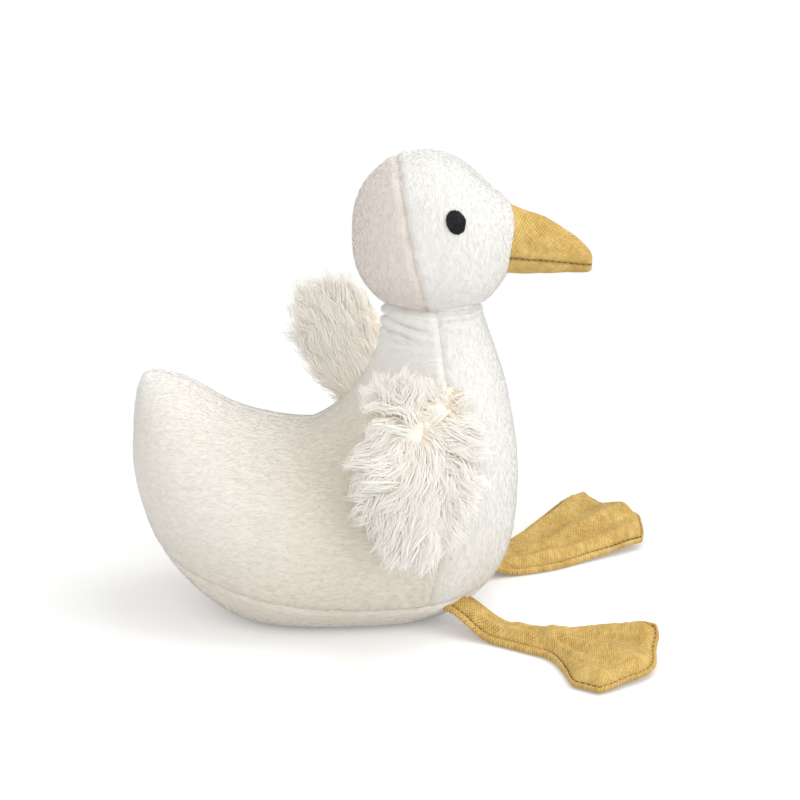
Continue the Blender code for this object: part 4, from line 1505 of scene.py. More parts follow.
@dataclass(frozen=True)
class Beak:
    """The linen beak: an upper and a lower panel round a small filling."""

    head: Head
    rise: float = 20 * MM
    length: float = 25 * MM
    root_height: float = 20.5 * MM
    root_width: float = 16.5 * MM
    tip_height: float = 5.4 * MM
    tip_width: float = 6 * MM
    drop: float = 7 * MM
    seam_rise: float = 6 * MM
    crest: float = 2.9 * MM
    sides: int = 10
    low_weight: float = 0.12
    cloth: float = 0.9 * MM
    tuck: float = 1.2 * MM
    girth: float = 7.5 * MM

    @property
    def root_x(self) -> float:
        """Where the beak leaves the head."""
        return self.head.x + self.head.depth / 2

    @property
    def middle(self) -> float:
        """The height of the beak's middle at its root."""
        return 99.5 * MM + self.rise

    def section(self, share: float, half_share: float) -> Section:
        """A cross-section part of the way along."""
        root_top = self.middle + self.root_height / 2
        root_bottom = self.middle - self.root_height / 2
        tip = self.middle - self.drop
        top = root_top + (tip + self.tip_height / 2 - root_top) * share
        top += self.crest * math.sin(math.pi * min(1.0, max(0.0, share)))
        fall = tip - self.tip_height / 2 - root_bottom
        bottom = root_bottom + fall * max(share, 0) ** 1.6
        x = self.root_x + self.length * share
        half = self.root_width / 2 + (self.tip_width - self.root_width) / 2 * half_share
        return Section((x, top), (x, bottom), half)

    def seam_height(self, x: float) -> float:
        """How high the seam runs at a place along the beak."""
        start = self.middle - self.root_height / 2 + self.seam_rise
        end = self.middle - self.drop - self.tip_height * 0.05
        share = min(1.0, max(0.0, (x - self.root_x) / self.length))
        return start + (end - start) * share

    def skin(self) -> tuple[list[Vector], list[list[int]], list[str]]:
        """The fine surface in front of the head, cut along its seam.

        Returns:
            Its points, its faces, and for each face the name of its panel.
        """
        stations = ((-0.3, -0.1), (0.0, 0.0), (0.3, 0.24), (0.6, 0.56), (0.85, 0.84), (0.97, 1.0))
        sections = [self.section(*station) for station in stations]
        form = lofted("beak_form", sections, self.sides, self.low_weight, 3)
        bm = bmesh.new()
        bm.from_mesh(form.data)
        drop(form)
        seam = Seam(
            "beak", lambda p: p.z - self.seam_height(p.x), lambda p: p.x,
            lambda p: True, 0.25 * MM, 0.1 * MM, 0.08 * MM, 1.5 * MM,
        )
        cut_along(bm, seam)
        inside = [v for v in bm.verts if self._depth_in_head(v.co) > self.tuck]
        bmesh.ops.delete(bm, geom=inside, context="VERTS")
        bm.normal_update()
        bm.verts.index_update()
        points = []
        for vertex in bm.verts:
            bumps = 0.32 * MM * wobble(vertex.co, 6 * MM, 2.0)
            points.append(vertex.co + vertex.normal * (seam.relief(vertex.co) + bumps))
        faces = [[v.index for v in face.verts] for face in bm.faces]
        centres = [face.calc_center_median() for face in bm.faces]
        bm.free()
        above = [centre.z > self.seam_height(centre.x) for centre in centres]
        return points, faces, ["beak_upper" if up else "beak_lower" for up in above]

    def _depth_in_head(self, place: Vector) -> float:
        """How deep a point lies inside the head's ball."""
        out = place - self.head.centre
        return (self.head.point(out.normalized()) - self.head.centre).length - out.length

    def build(self, linen: Material, stitches: StitchTree, thread: Material) -> list[Object]:
        """Make both panels and the stitches between them.

        Args:
            linen: the panels' material.
            stitches: what lays the stitches.
            thread: their material.

        Returns:
            The pieces.
        """
        points, faces, owners = self.skin()
        pieces = []
        for name in ("beak_upper", "beak_lower"):
            own = [face for face, owner in zip(faces, owners) if owner == name]
            placed, own = lifted(points, own)
            mesh = mesh_from(name, placed, own)
            panel = new_piece(name + "_linen", mesh)
            lay_weave(mesh, [self._flat(p) for p in placed])
            # The seam mark paints shade along the beak's stitching.
            give(mesh, "seam", [bell(p.z - self.seam_height(p.x), 0.5 * MM) for p in placed])
            thicken(panel, self.cloth)
            panel.data.materials.append(linen)
            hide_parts(name)
            pieces.append(panel)
        (edges,) = borders(faces, owners).values()
        line, pairs = lifted(points, edges)
        line = [p + Vector((0, math.copysign(0.42 * MM, p.y), 0)) for p in line]
        stitch = Stitch(1.9 * MM, 1.35 * MM, 0.36 * MM, 0.12, 5)
        pieces.append(stitches.sew("beak_stitches", "linen", line, pairs, stitch, thread))
        return pieces

    def _flat(self, place: Vector) -> Pair:
        """A point's place on the cloth before it was sewn up."""
        angle = math.atan2(place.y, place.z - self.middle + self.drop / 2)
        return (place.x, angle * self.girth)


def lay_weave(mesh: Mesh, flat: Sequence[Pair]) -> None:
    """Store each point's place on the flat cloth as the UV map of the weave."""
    layer = mesh.uv_layers.new(name="weave")
    corners = np.zeros(len(mesh.loops), np.int32)
    mesh.loops.foreach_get("vertex_index", corners)
    places = np.array(flat, np.float32)[corners]
    layer.data.foreach_set("uv", places.ravel())


# Feet


@dataclass(frozen=True)
class Crease:
    """A straight crease or ridge on a foot's flat pattern, in along and across."""

    start: Pair
    end: Pair
    height: float
    width: float


@dataclass(frozen=True)
class Flank:
    """One half of a foot, from its middle line to an edge."""

    leg_half: float
    toe_half: float
    spread: Pair
    lift: float
    notch: float


@dataclass(frozen=True)
class Foot:
    """One webbed linen foot on its flat leg, as it lies."""

    side: Side
    reach: float
    middle_lift: float
    inner: Flank
    outer: Flank
    creases: tuple[Crease, ...]
    root_x: float = 27 * MM
    root_y: float = 21 * MM
    root_height: float = 8.5 * MM
    width: float = 40 * MM
    puff_height: float = 2.6 * MM
    rest: float = 0.2 * MM
    cloth: float = 0.9 * MM
    gap: float = 0.15 * MM
    margin: float = 2.4 * MM
    rounding: float = 0.11
    landing: float = 0.26
    splay: float = math.radians(33)
    rows: int = 80
    columns: int = 46

    def flank(self, across: float) -> Flank:
        """The half of the foot that a place lies in."""
        return self.outer if across > 0 else self.inner

    def half_width(self, along: float, across: float) -> float:
        """Half the foot's width, from the leg's strip out to the toes."""
        flank = self.flank(across)
        extra = flank.toe_half - flank.leg_half
        return flank.leg_half + extra * step(along, *flank.spread)

    def point(self, along: float, across: float, height: float) -> Vector:
        """A point of the foot in place: along from root to toes, across from -1 to 1."""
        toe = step(along, 0.66, 1.0)
        valley = (0.5 - 0.5 * math.cos(2 * math.pi * across)) ** 1.5
        notch = self.flank(across).notch * valley * toe
        rounding = self.rounding * self.reach * across ** 2 * toe
        length = along * self.reach - notch - rounding
        sign = self.side.value
        heading = sign * self.splay
        forward = Vector((math.cos(heading), math.sin(heading), 0))
        outward = Vector((-math.sin(heading), math.cos(heading), 0)) * sign
        root = Vector((self.root_x, sign * self.root_y, 0))
        aside = outward * self.half_width(along, across) * across
        return root + forward * length + aside + UP * height

    def middle(self, along: float, across: float) -> float:
        """The height of the foot's seam, which comes down from the body to the floor."""
        rest = self.rest + self.cloth + self.gap
        fall = (self.root_height - rest) * (1 - step(along, 0.0, self.landing))
        edge = self.flank(across).lift * abs(across) ** 1.5
        centre = self.middle_lift * (1 - across ** 2)
        return rest + fall + step(along, 0.45, 0.95) * (edge + centre)

    def from_edge(self, along: float, across: float) -> float:
        """How far a place lies inside the foot's outline."""
        aside = self.half_width(along, across) * (1 - abs(across))
        ahead = self.reach * (1 - along)
        return min(aside, ahead)

    def hem(self, along: float) -> float:
        """How far inside the outline the topstitching runs: closer at the toes."""
        return self.margin * (1 - 0.5 * step(along, 0.55, 0.8))

    def flat(self, along: float, across: float) -> Pair:
        """A place on the foot's flat pattern."""
        return (along * self.reach, across * self.half_width(along, across))

    def welt(self, edge: float) -> float:
        """The rounded height of the cloth next to the outline."""
        share = min(1.0, edge / (1.3 * MM))
        return (self.cloth + self.gap) * math.sqrt(max(0.0, 1 - (1 - share) ** 2))

    def top(self, along: float, across: float) -> float:
        """How high the upper panel stands over the seam."""
        edge = self.from_edge(along, across)
        hem = self.hem(along)
        puff = self.puff_height * step(edge, hem, hem + 1.6 * self.margin)
        valley = (0.5 - 0.5 * math.cos(2 * math.pi * across)) * step(along, 0.3, 0.85)
        puff *= 1 - 0.62 * valley
        groove = -0.75 * MM * bell(edge - hem, 0.5 * MM)
        rim = 0.2 * MM * bell(edge - hem / 2, 0.6 * MM)
        inside = step(edge, hem, hem + 1.2 * self.margin)
        length, aside = self.flat(along, across)
        place = Vector((length, aside, self.side.value * 31 * MM))
        rumple = 0.8 * MM * wobble(place, 8 * MM) + 0.42 * MM * wobble(place, 3.6 * MM, 4.0)
        rumple += sum(self._crease(crease, along, across) for crease in self.creases)
        ripple = 0.12 * MM * wobble(place, 2.6 * MM, 8.0) * step(edge, 0.0, 1.2 * MM)
        return self.welt(edge) + puff + groove + rim + inside * rumple + ripple

    def _crease(self, crease: Crease, along: float, across: float) -> float:
        """How far one crease moves the cloth at a place."""
        here = Vector((along * self.reach, across * self.width / 2))
        start = Vector((crease.start[0] * self.reach, crease.start[1] * self.width / 2))
        end = Vector((crease.end[0] * self.reach, crease.end[1] * self.width / 2))
        run = end - start
        share = (here - start).dot(run) / run.length_squared
        fade = step(share, -0.15, 0.2) * (1 - step(share, 0.75, 1.15))
        gap = (here - start - run * share).dot(Vector((-run.y, run.x)).normalized())
        return crease.height * fade * bell(gap, crease.width)

    def bottom(self, along: float, across: float) -> float:
        """How far the lower panel hangs under the seam."""
        return -self.welt(self.from_edge(along, across))

    def first_row(self, skin: BVHTree) -> float:
        """Where the leg comes out of the body. Returns: the place along it."""
        for index in range(self.rows // 2):
            along = index / (self.rows - 1)
            for across in (-1.0, 0.0, 1.0):
                place = self.point(along, across, self.middle(along, across) + 2 * MM)
                spot, normal, _face, _gap = skin.find_nearest(place)
                if (place - spot).dot(normal) > -2.5 * MM:
                    return along
        return 0.0

    def grid(
        self, skin: BVHTree, height: Callable[[float, float], float]
    ) -> tuple[list[Vector], list[Pair], list[float]]:
        """Lay a fine grid of points over the foot.

        Args:
            skin: the goose's skin, in which the leg starts.
            height: how far each place stands over or under the seam.

        Returns:
            The points, their places on the flat cloth and how near the stitching is.
        """
        start = self.first_row(skin)
        points, flats, seams = [], [], []
        for row in range(self.rows):
            along = start + (1 - start) * (row / (self.rows - 1)) ** 0.92
            for column in range(self.columns):
                turn = (column / (self.columns - 1) - 0.5) * math.pi
                across = 0.55 * math.sin(turn) + 0.45 * turn / (math.pi / 2)
                lift = self.middle(along, across) + height(along, across)
                points.append(self.point(along, across, lift))
                flats.append(self.flat(along, across))
                # How near the stitching is, which paints shade in its groove.
                seams.append(bell(self.from_edge(along, across) - self.hem(along), 0.4 * MM))
        return points, flats, seams

    def panel(
        self, name: str, skin: BVHTree, height: Callable[[float, float], float], is_upper: bool
    ) -> Object:
        """One panel as a closed sheet. Returns: its object."""
        points, flats, seams = self.grid(skin, height)
        mesh = mesh_from(name, points, grid_faces(self.rows, self.columns))
        normal_up = mesh.polygons[len(mesh.polygons) // 2].normal.z > 0
        if normal_up is not is_upper:
            mesh.flip_normals()
        panel = new_piece(name, mesh)
        lay_weave(mesh, flats)
        give(mesh, "seam", seams)
        thicken(panel, self.cloth * 0.6)
        return panel

    def wadding(self, skin: BVHTree) -> Object:
        """The thin filling between the two panels. Returns: a closed slab."""
        rows, columns, inset = 28, 13, 3.2 * MM
        start = self.first_row(skin)
        last = 1 - inset / self.reach
        layers = []
        for is_upper in (True, False):
            points = []
            for row in range(rows):
                along = start + (last - start) * row / (rows - 1)
                for column in range(columns):
                    turn = 2 * column / (columns - 1) - 1
                    across = turn * (1 - inset / self.half_width(along, turn))
                    height = self.top(along, across) - 0.9 * MM
                    lift = max(height, -0.25 * MM) if is_upper else -0.4 * MM
                    points.append(self.point(along, across, self.middle(along, across) + lift))
            layers.append(points)
        mesh = slab_mesh("wadding", layers[0], layers[1], columns)
        return new_piece(f"foot_{self.side.word}_wadding_fibre", mesh)

    def stitch_line(self, skin: BVHTree) -> list[Vector]:
        """The line of the topstitching, just over the groove. Returns: its points."""
        start = self.first_row(skin)
        last = 1 - self.hem(1.0) / self.reach
        count = 90
        path = []
        for index in range(count):
            along = start + (last - start) * index / (count - 1)
            path.append((along, -1 + self.hem(along) / self.half_width(along, -1)))
        edge = 1 - self.hem(1.0) / self.half_width(last, 1)
        path += [(last, -edge + 2 * edge * index / count) for index in range(1, count)]
        for index in range(count):
            along = last - (last - start) * index / (count - 1)
            path.append((along, 1 - self.hem(along) / self.half_width(along, 1)))
        lift = 0.3 * MM
        return [self.point(a, c, self.middle(a, c) + self.top(a, c) + lift) for a, c in path]

    def build(
        self,
        skin: BVHTree,
        linen: Material,
        fibre: Material,
        stitches: StitchTree,
        thread: Material,
    ) -> list[Object]:
        """Make the foot's panels, its filling and its topstitching.

        Args:
            skin: the goose's skin, in which the leg starts.
            linen: the panels' material.
            fibre: the filling's material.
            stitches: what lays the stitches.
            thread: their material.

        Returns:
            The pieces.
        """
        word = self.side.word
        pieces = []
        for layer, height in (("upper", self.top), ("lower", self.bottom)):
            node = f"foot_{word}_{layer}"
            panel = self.panel(node + "_linen", skin, height, layer == "upper")
            panel.data.materials.append(linen)
            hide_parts(node)
            pieces.append(panel)
        filling = self.wadding(skin)
        filling.data.materials.append(fibre)
        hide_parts(f"foot_{word}_wadding")
        line = self.stitch_line(skin)
        pairs = [(index, index + 1) for index in range(len(line) - 1)]
        stitch = Stitch(1.9 * MM, 1.35 * MM, 0.42 * MM, 0.14, 11 + self.side.value)
        sewn = stitches.sew(f"foot_{word}_stitches", "linen", line, pairs, stitch, thread)
        return [*pieces, sewn, filling]


# Eyes


@dataclass(frozen=True)
class Eye:
    """An oval of satin stitch on the face."""

    side: Side
    width: float = 5.9 * MM
    height: float = 7.3 * MM
    forward: float = 6.3 * MM
    rise: float = 6.4 * MM
    lean: float = 0.12
    dome: float = 0.55 * MM
    pitch: float = 0.24 * MM

    def build(self, head: Head, skin: BVHTree, threads: ThreadTree, black: Material) -> list[Object]:
        """Sew the eye onto the face.

        Args:
            head: the head's sizes.
            skin: the goose's skin.
            threads: what turns lines into threads.
            black: the thread's material.

        Returns:
            The pad under the stitches, and the stitches.
        """
        aim = head.centre + Vector((self.forward, self.side.value * head.width, self.rise))
        centre, normal, _face, _gap = skin.ray_cast(aim, Vector((0, -self.side.value, 0)))
        up = (UP - normal * UP.dot(normal)).normalized()
        across = up.cross(normal)
        up += across * self.side.value * self.lean

        def seat(x: float, y: float, height: float) -> Vector:
            """Lay a point of the oval on the cloth."""
            start = centre + across * x + up * y + normal * 8 * MM
            spot, _normal, _face, _gap = skin.ray_cast(start, -normal)
            return spot + normal * height

        count, per_line = int(self.width / self.pitch), 13
        points, edges = [], []
        for index in range(count):
            x = (index + 0.5) / count * 2 - 1
            half = math.sqrt(max(0.0, 1 - x * x)) * self.height / 2
            half *= 1 + 0.09 * wobble(Vector((x, self.side.value, 0.3)), 0.3)
            slant = 0.25 * MM * wobble(Vector((x, 0.5, 4.0)), 0.3)
            for place in range(per_line):
                y = place / (per_line - 1) * 2 - 1
                dome = self.dome * (1 - 0.55 * (x * x + y * y * (1 - x * x)))
                end = math.sqrt(max(0.0, 1 - y ** 6))
                spot = seat(x * self.width / 2 + slant * y, y * half, 0.35 * MM + dome * end)
                points.append(spot)
                if place:
                    edges.append((len(points) - 2, len(points) - 1))
        line = new_piece("eye_lines", mesh_from("eye_lines", points, (), edges))
        values = {"Thread width": 0.34 * MM, "Material": black}
        satin = threads.grow(line, f"eye_{self.side.word}_satin", values)
        drop(line)
        pad = self._pad(seat, black)
        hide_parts(f"eye_{self.side.word}")
        return [pad, satin]

    def _pad(self, seat: Place, black: Material) -> Object:
        """The underlay of the satin stitch. Returns: a closed, domed oval."""
        rings, spokes = 6, 28
        points = [seat(0, 0, 0.3 * MM + self.dome)]
        for ring in range(1, rings + 1):
            share = ring / rings
            for spoke in range(spokes):
                angle = 2 * math.pi * spoke / spokes
                x = math.cos(angle) * self.width / 2 * share * 0.97
                y = math.sin(angle) * self.height / 2 * share * 0.97
                points.append(seat(x, y, 0.25 * MM + self.dome * (1 - share ** 2)))
        faces = [[0, 1 + s, 1 + (s + 1) % spokes] for s in range(spokes)]
        for ring in range(1, rings):
            low, high = 1 + (ring - 1) * spokes, 1 + ring * spokes
            for s in range(spokes):
                after = (s + 1) % spokes
                faces.append([low + s, high + s, high + after, low + after])
        mesh = mesh_from("eye_pad", points, faces)
        centre = sum(points, Vector()) / len(points)
        inner = Vector((centre.x, 0.0, centre.z))
        if mesh.polygons[0].normal.dot(centre - inner) < 0:
            mesh.flip_normals()
        pad = new_piece(f"eye_{self.side.word}_pad", mesh)
        thicken(pad, 0.3 * MM)
        pad.data.materials.append(black)
        return pad


# Wings


@dataclass(frozen=True)
class Groom:
    """How the fur of one wing panel lies, in the wing's own length and width."""

    locks: int
    strands: int
    reach: float
    swirl: float
    radial: float
    drift: Pair
    centre: Pair = (0.40, 0.0)
    loft: float = 0.45
    sag: float = 0.15
    points: int = 5
    mat: float = 1.7 * MM
    seed: int = 1

    def way(self, length: float, width: float) -> Pair:
        """Which way the fur lies at a place: towards the tip, and forwards."""
        place = Vector((length, width, self.seed * 40 * MM))
        out_length = length - self.centre[0] * Wing.length
        out_width = width - self.centre[1] * Wing.width
        far = math.hypot(out_length, out_width) + 11 * MM
        turn = noise.noise_vector(place / (8.5 * MM))
        along = self.radial * out_length / far + self.drift[0] + self.swirl * turn.x
        aside = self.radial * out_width / far + self.drift[1] + self.swirl * turn.y
        size = math.hypot(along, aside) or 1.0
        return (along / size, aside / size)


@dataclass(frozen=True)
class Wing:
    """A wing: two fur panels back to back, on the side of the body."""

    side: Side
    length: float = 56 * MM
    width: float = 36 * MM
    thickness: float = 13 * MM
    edge: float = 0.85 * MM
    arch: float = 5 * MM
    wrap: float = 7 * MM
    root_x: float = 15.5 * MM
    root_height: float = 81 * MM
    back: float = 10 * MM
    drop: float = 32 * MM
    curl: float = 6 * MM
    waist: float = 1.0
    backing_share: float = 0.78
    rows: int = 26
    columns: int = 18
    mat_rows: int = 48
    mat_columns: int = 34
    strand: float = 0.17 * MM
    softness: float = 8.0

    def seat(self, skin: BVHTree) -> Place:
        """Find the wing's place on the body.

        Args:
            skin: the goose's skin.

        Returns:
            What turns length, width and height on the wing into a point.
        """
        if self.side is Side.RIGHT:
            return self._hanging(skin)
        return self._raised(skin)

    def _on_body(self, skin: BVHTree, x: float, z: float) -> Vector:
        """Where the body's side is, at a place in its profile."""
        sign = self.side.value
        spot, _n, _f, _g = skin.ray_cast(Vector((x, sign * 0.15, z)), Vector((0, -sign, 0)))
        return spot

    def _hanging(self, skin: BVHTree) -> Place:
        """The right wing hangs on the side and wraps round it."""
        root = self._on_body(skin, self.root_x, self.root_height)
        tip = self._on_body(skin, self.root_x, self.root_height - self.length * 0.94)
        down = (tip - root).normalized()
        forward = (Vector((1, 0, 0)) - down * down.x).normalized()
        outward = down.cross(forward)
        outward *= -1 if outward.y > 0 else 1
        lift = self.thickness * 0.36

        def place(length: float, width: float, height: float) -> Vector:
            """Lay the wing over the swell of the side."""
            share = length / self.length
            swell = self.arch * (1 - (2 * share - 1) ** 2)
            wrap = self.wrap * (width / (self.width / 2)) ** 2 * (1 - 0.3 * share)
            middle = root + down * length + forward * width
            return middle + outward * (lift + swell - wrap + height)

        return place

    def _raised(self, skin: BVHTree) -> Place:
        """The left wing is flipped up and stands behind the neck."""
        root = self._on_body(skin, self.root_x - self.back, self.root_height - self.drop)
        up = Vector((-0.40, 0.22, 0.88)).normalized()
        forward = Vector((0.92, 0.1, 0.4))
        forward = (forward - up * forward.dot(up)).normalized()
        outward = up.cross(forward)
        outward *= -1 if outward.y < 0 else 1
        lift = self.thickness * 0.30

        def place(length: float, width: float, height: float) -> Vector:
            """Stand the wing up, with its tip curling out."""
            share = length / self.length
            middle = root + up * length + forward * width
            return middle + outward * (lift + self.curl * share ** 2 + height)

        return place

    def outline(self, along: float) -> float:
        """The wing's half width at a place along it."""
        leaf = math.sin(math.pi * (0.15 + 0.82 * along ** 0.85)) ** 0.55
        return self.width / 2 * leaf * (self.waist + (1 - self.waist) * step(along, 0.0, 0.7))

    def bulge(self, along: float, across: float) -> float:
        """How full the backing is at a place, from 0 to 1."""
        full = math.sin(math.pi * (0.10 + 0.86 * along)) ** 0.6
        ends = step(along, 0.04, 0.18) * (1 - step(along, 0.78, 0.92))
        return (1 - across ** 4) * full * ends

    def cloth_height(self, layer: Layer, along: float, across: float) -> float:
        """How far the backing stands off the wing's middle."""
        full = self.edge * 0.5 + self.bulge(along, across) * self.thickness * 0.2
        return layer.value * full

    def backing(self, place: Place, layer: Layer) -> Object:
        """The knitted backing of one fur panel. Returns: a closed thin sheet."""
        points = []
        for row in range(self.rows):
            along = 0.06 + 0.85 * row / (self.rows - 1)
            for column in range(self.columns):
                across = 2 * column / (self.columns - 1) - 1
                width = self.backing_share * self.outline(along) * across
                height = self.cloth_height(layer, along, across)
                points.append(place(along * self.length, width, height))
        mesh = mesh_from("backing", points, grid_faces(self.rows, self.columns))
        outward = place(self.length / 2, 0, 1 * MM) - place(self.length / 2, 0, 0)
        middle = mesh.polygons[len(mesh.polygons) // 2].normal
        if middle.dot(outward) * layer.value < 0:
            mesh.flip_normals()
        piece = new_piece(f"wing_{self.side.word}_{layer.word}_backing", mesh)
        thicken(piece, 0.35 * MM)
        return piece

    def underfur(self, place: Place, layer: Layer, groom: Groom) -> Object:
        """The dense short fur between the long strands, parted into locks.

        Args:
            place: what lays a point on the wing.
            layer: which of the two panels.
            groom: how its fur lies.

        Returns:
            A closed mat over the backing, marked with how deep each place lies.
        """
        rows, columns = self.mat_rows, self.mat_columns
        top, base, depth, ways = [], [], [], []
        for row in range(rows):
            along = 0.07 + 0.85 * row / (rows - 1)
            for column in range(columns):
                across = 2 * column / (columns - 1) - 1
                length = along * self.length
                width = self.backing_share * 1.04 * self.outline(along) * across
                low = self.cloth_height(layer, along, across)
                turn = Vector((length, width, groom.seed * 40 * MM))
                parting = abs(wobble(turn, 6.5 * MM) + 0.35 * wobble(turn, 3 * MM, 2.0))
                lock = min(1.0, parting * 4.2) ** 0.7
                high = layer.value * self.bulge(along, across) * groom.mat * (0.3 + 0.7 * lock)
                base.append(place(length, width, low))
                top.append(place(length, width, low + high))
                depth.append(0.08 + 0.38 * lock)
                way = groom.way(length, width)
                flow = place(length + MM * way[0], width + MM * way[1], 0)
                ways.append((flow - place(length, width, 0)).normalized())
        mesh = slab_mesh("underfur", top, base, columns)
        give(mesh, "strand_share", depth + [0.1] * len(base))
        give(mesh, "tint", [0.5] * len(depth + base))
        give(mesh, "flow", ways + ways)
        return new_piece(f"wing_{self.side.word}_{layer.word}_underfur", mesh)

    def roots(self, place: Place, layer: Layer, groom: Groom) -> Object:
        """Set the fur's roots on the backing.

        Args:
            place: what lays a point on the wing.
            layer: which of the two panels.
            groom: how its fur lies.

        Returns:
            Loose points that carry what each strand needs.
        """
        draw = np.random.default_rng(groom.seed)
        columns = max(2, int(math.sqrt(groom.locks * self.width / self.length)))
        rows = groom.locks // columns
        data: dict[str, list] = {
            name: [] for name in ("root", "way", "lift", "gather", "reach", "phase", "tint")
        }

        def spot(length: float, width: float) -> Vector:
            """The backing's surface at a length and width."""
            along = min(0.96, max(0.01, length / self.length))
            half = self.outline(along) * self.backing_share
            across = max(-1.0, min(1.0, width / half))
            height = self.cloth_height(layer, along, across)
            return place(length, width, height)

        small = 0.5 * MM

        def flow_out(length: float, width: float) -> Vector:
            """The way out of the wing, leaning outwards near its rim."""
            out = place(length, width, small) - place(length, width, 0)
            out = out.normalized() * layer.value
            rim = max(-1.0, min(1.0, width / (self.width / 2)))
            aside = place(length, width + small, 0) - place(length, width, 0)
            return (out + aside.normalized() * (0.7 * rim ** 3)).normalized()

        for row in range(rows):
            for column in range(columns):
                along = 0.09 + 0.76 * (row + draw.uniform(0.05, 0.95)) / rows
                across = ((column + draw.uniform(0.05, 0.95)) / columns * 2 - 1) * 0.97
                length = along * self.length
                width = across * self.outline(along) * self.backing_share
                way = groom.way(length, width)
                heart = spot(length, width)
                lift = flow_out(length, width)
                flow = place(length + small * way[0], width + small * way[1], 0)
                flow -= place(length, width, 0)
                flow = (flow - lift * flow.dot(lift)).normalized()
                phase, tint = draw.uniform(0, 2 * math.pi), draw.uniform(0, 1)
                reach = groom.reach * draw.uniform(0.75, 1.15)
                reach *= 1 - 0.25 * abs(across) ** 3
                reach *= 0.68 + 0.32 * step(along, 0.05, 0.32)
                for _ in range(groom.strands):
                    drift_length, drift_width = draw.normal(0, 1.25 * MM, 2)
                    root = spot(length + drift_length, width + drift_width)
                    data["root"].append(root)
                    data["way"].append(flow)
                    data["lift"].append(lift)
                    data["gather"].append(root - heart)
                    data["reach"].append(reach * draw.uniform(0.82, 1.12))
                    data["phase"].append(phase + draw.uniform(-0.35, 0.35))
                    data["tint"].append(0.5 + 0.7 * (tint - 0.5) + draw.uniform(-0.12, 0.12))
        item = new_piece("roots", mesh_from("roots", data["root"]))
        for name, values in data.items():
            give(item.data, name, values)
        return item

    def build(
        self,
        skin: BVHTree,
        grooms: dict[Layer, Groom],
        fur: FurTree,
        fur_cloth: Material,
        backing_cloth: Material,
    ) -> list[Object]:
        """Make both fur panels of the wing.

        Args:
            skin: the goose's skin.
            grooms: how each layer's fur lies.
            fur: what grows the strands.
            fur_cloth: the fur's material.
            backing_cloth: the backings' material.

        Returns:
            The pieces.
        """
        place = self.seat(skin)
        pieces = []
        for layer, groom in grooms.items():
            node = f"wing_{self.side.word}_{layer.word}"
            backing = self.backing(place, layer)
            backing.data.materials.append(backing_cloth)
            roots = self.roots(place, layer, groom)
            values = {
                "Points": groom.points,
                "Strand width": self.strand,
                "Loft": groom.loft,
                "Curl": 0.27,
                "Turns": 4.8,
                "Hold": 0.4,
                "Sag": groom.sag,
                "Material": fur_cloth,
            }
            coat = fur.grow(roots, node + "_fur", values)
            drop(roots)
            mat = self.underfur(place, layer, groom)
            mat.data.materials.append(fur_cloth)
            soften_shading(coat, self.softness)
            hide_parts(node)
            for piece in (backing, mat, coat):
                pieces.append(piece)
        return pieces


# Stage


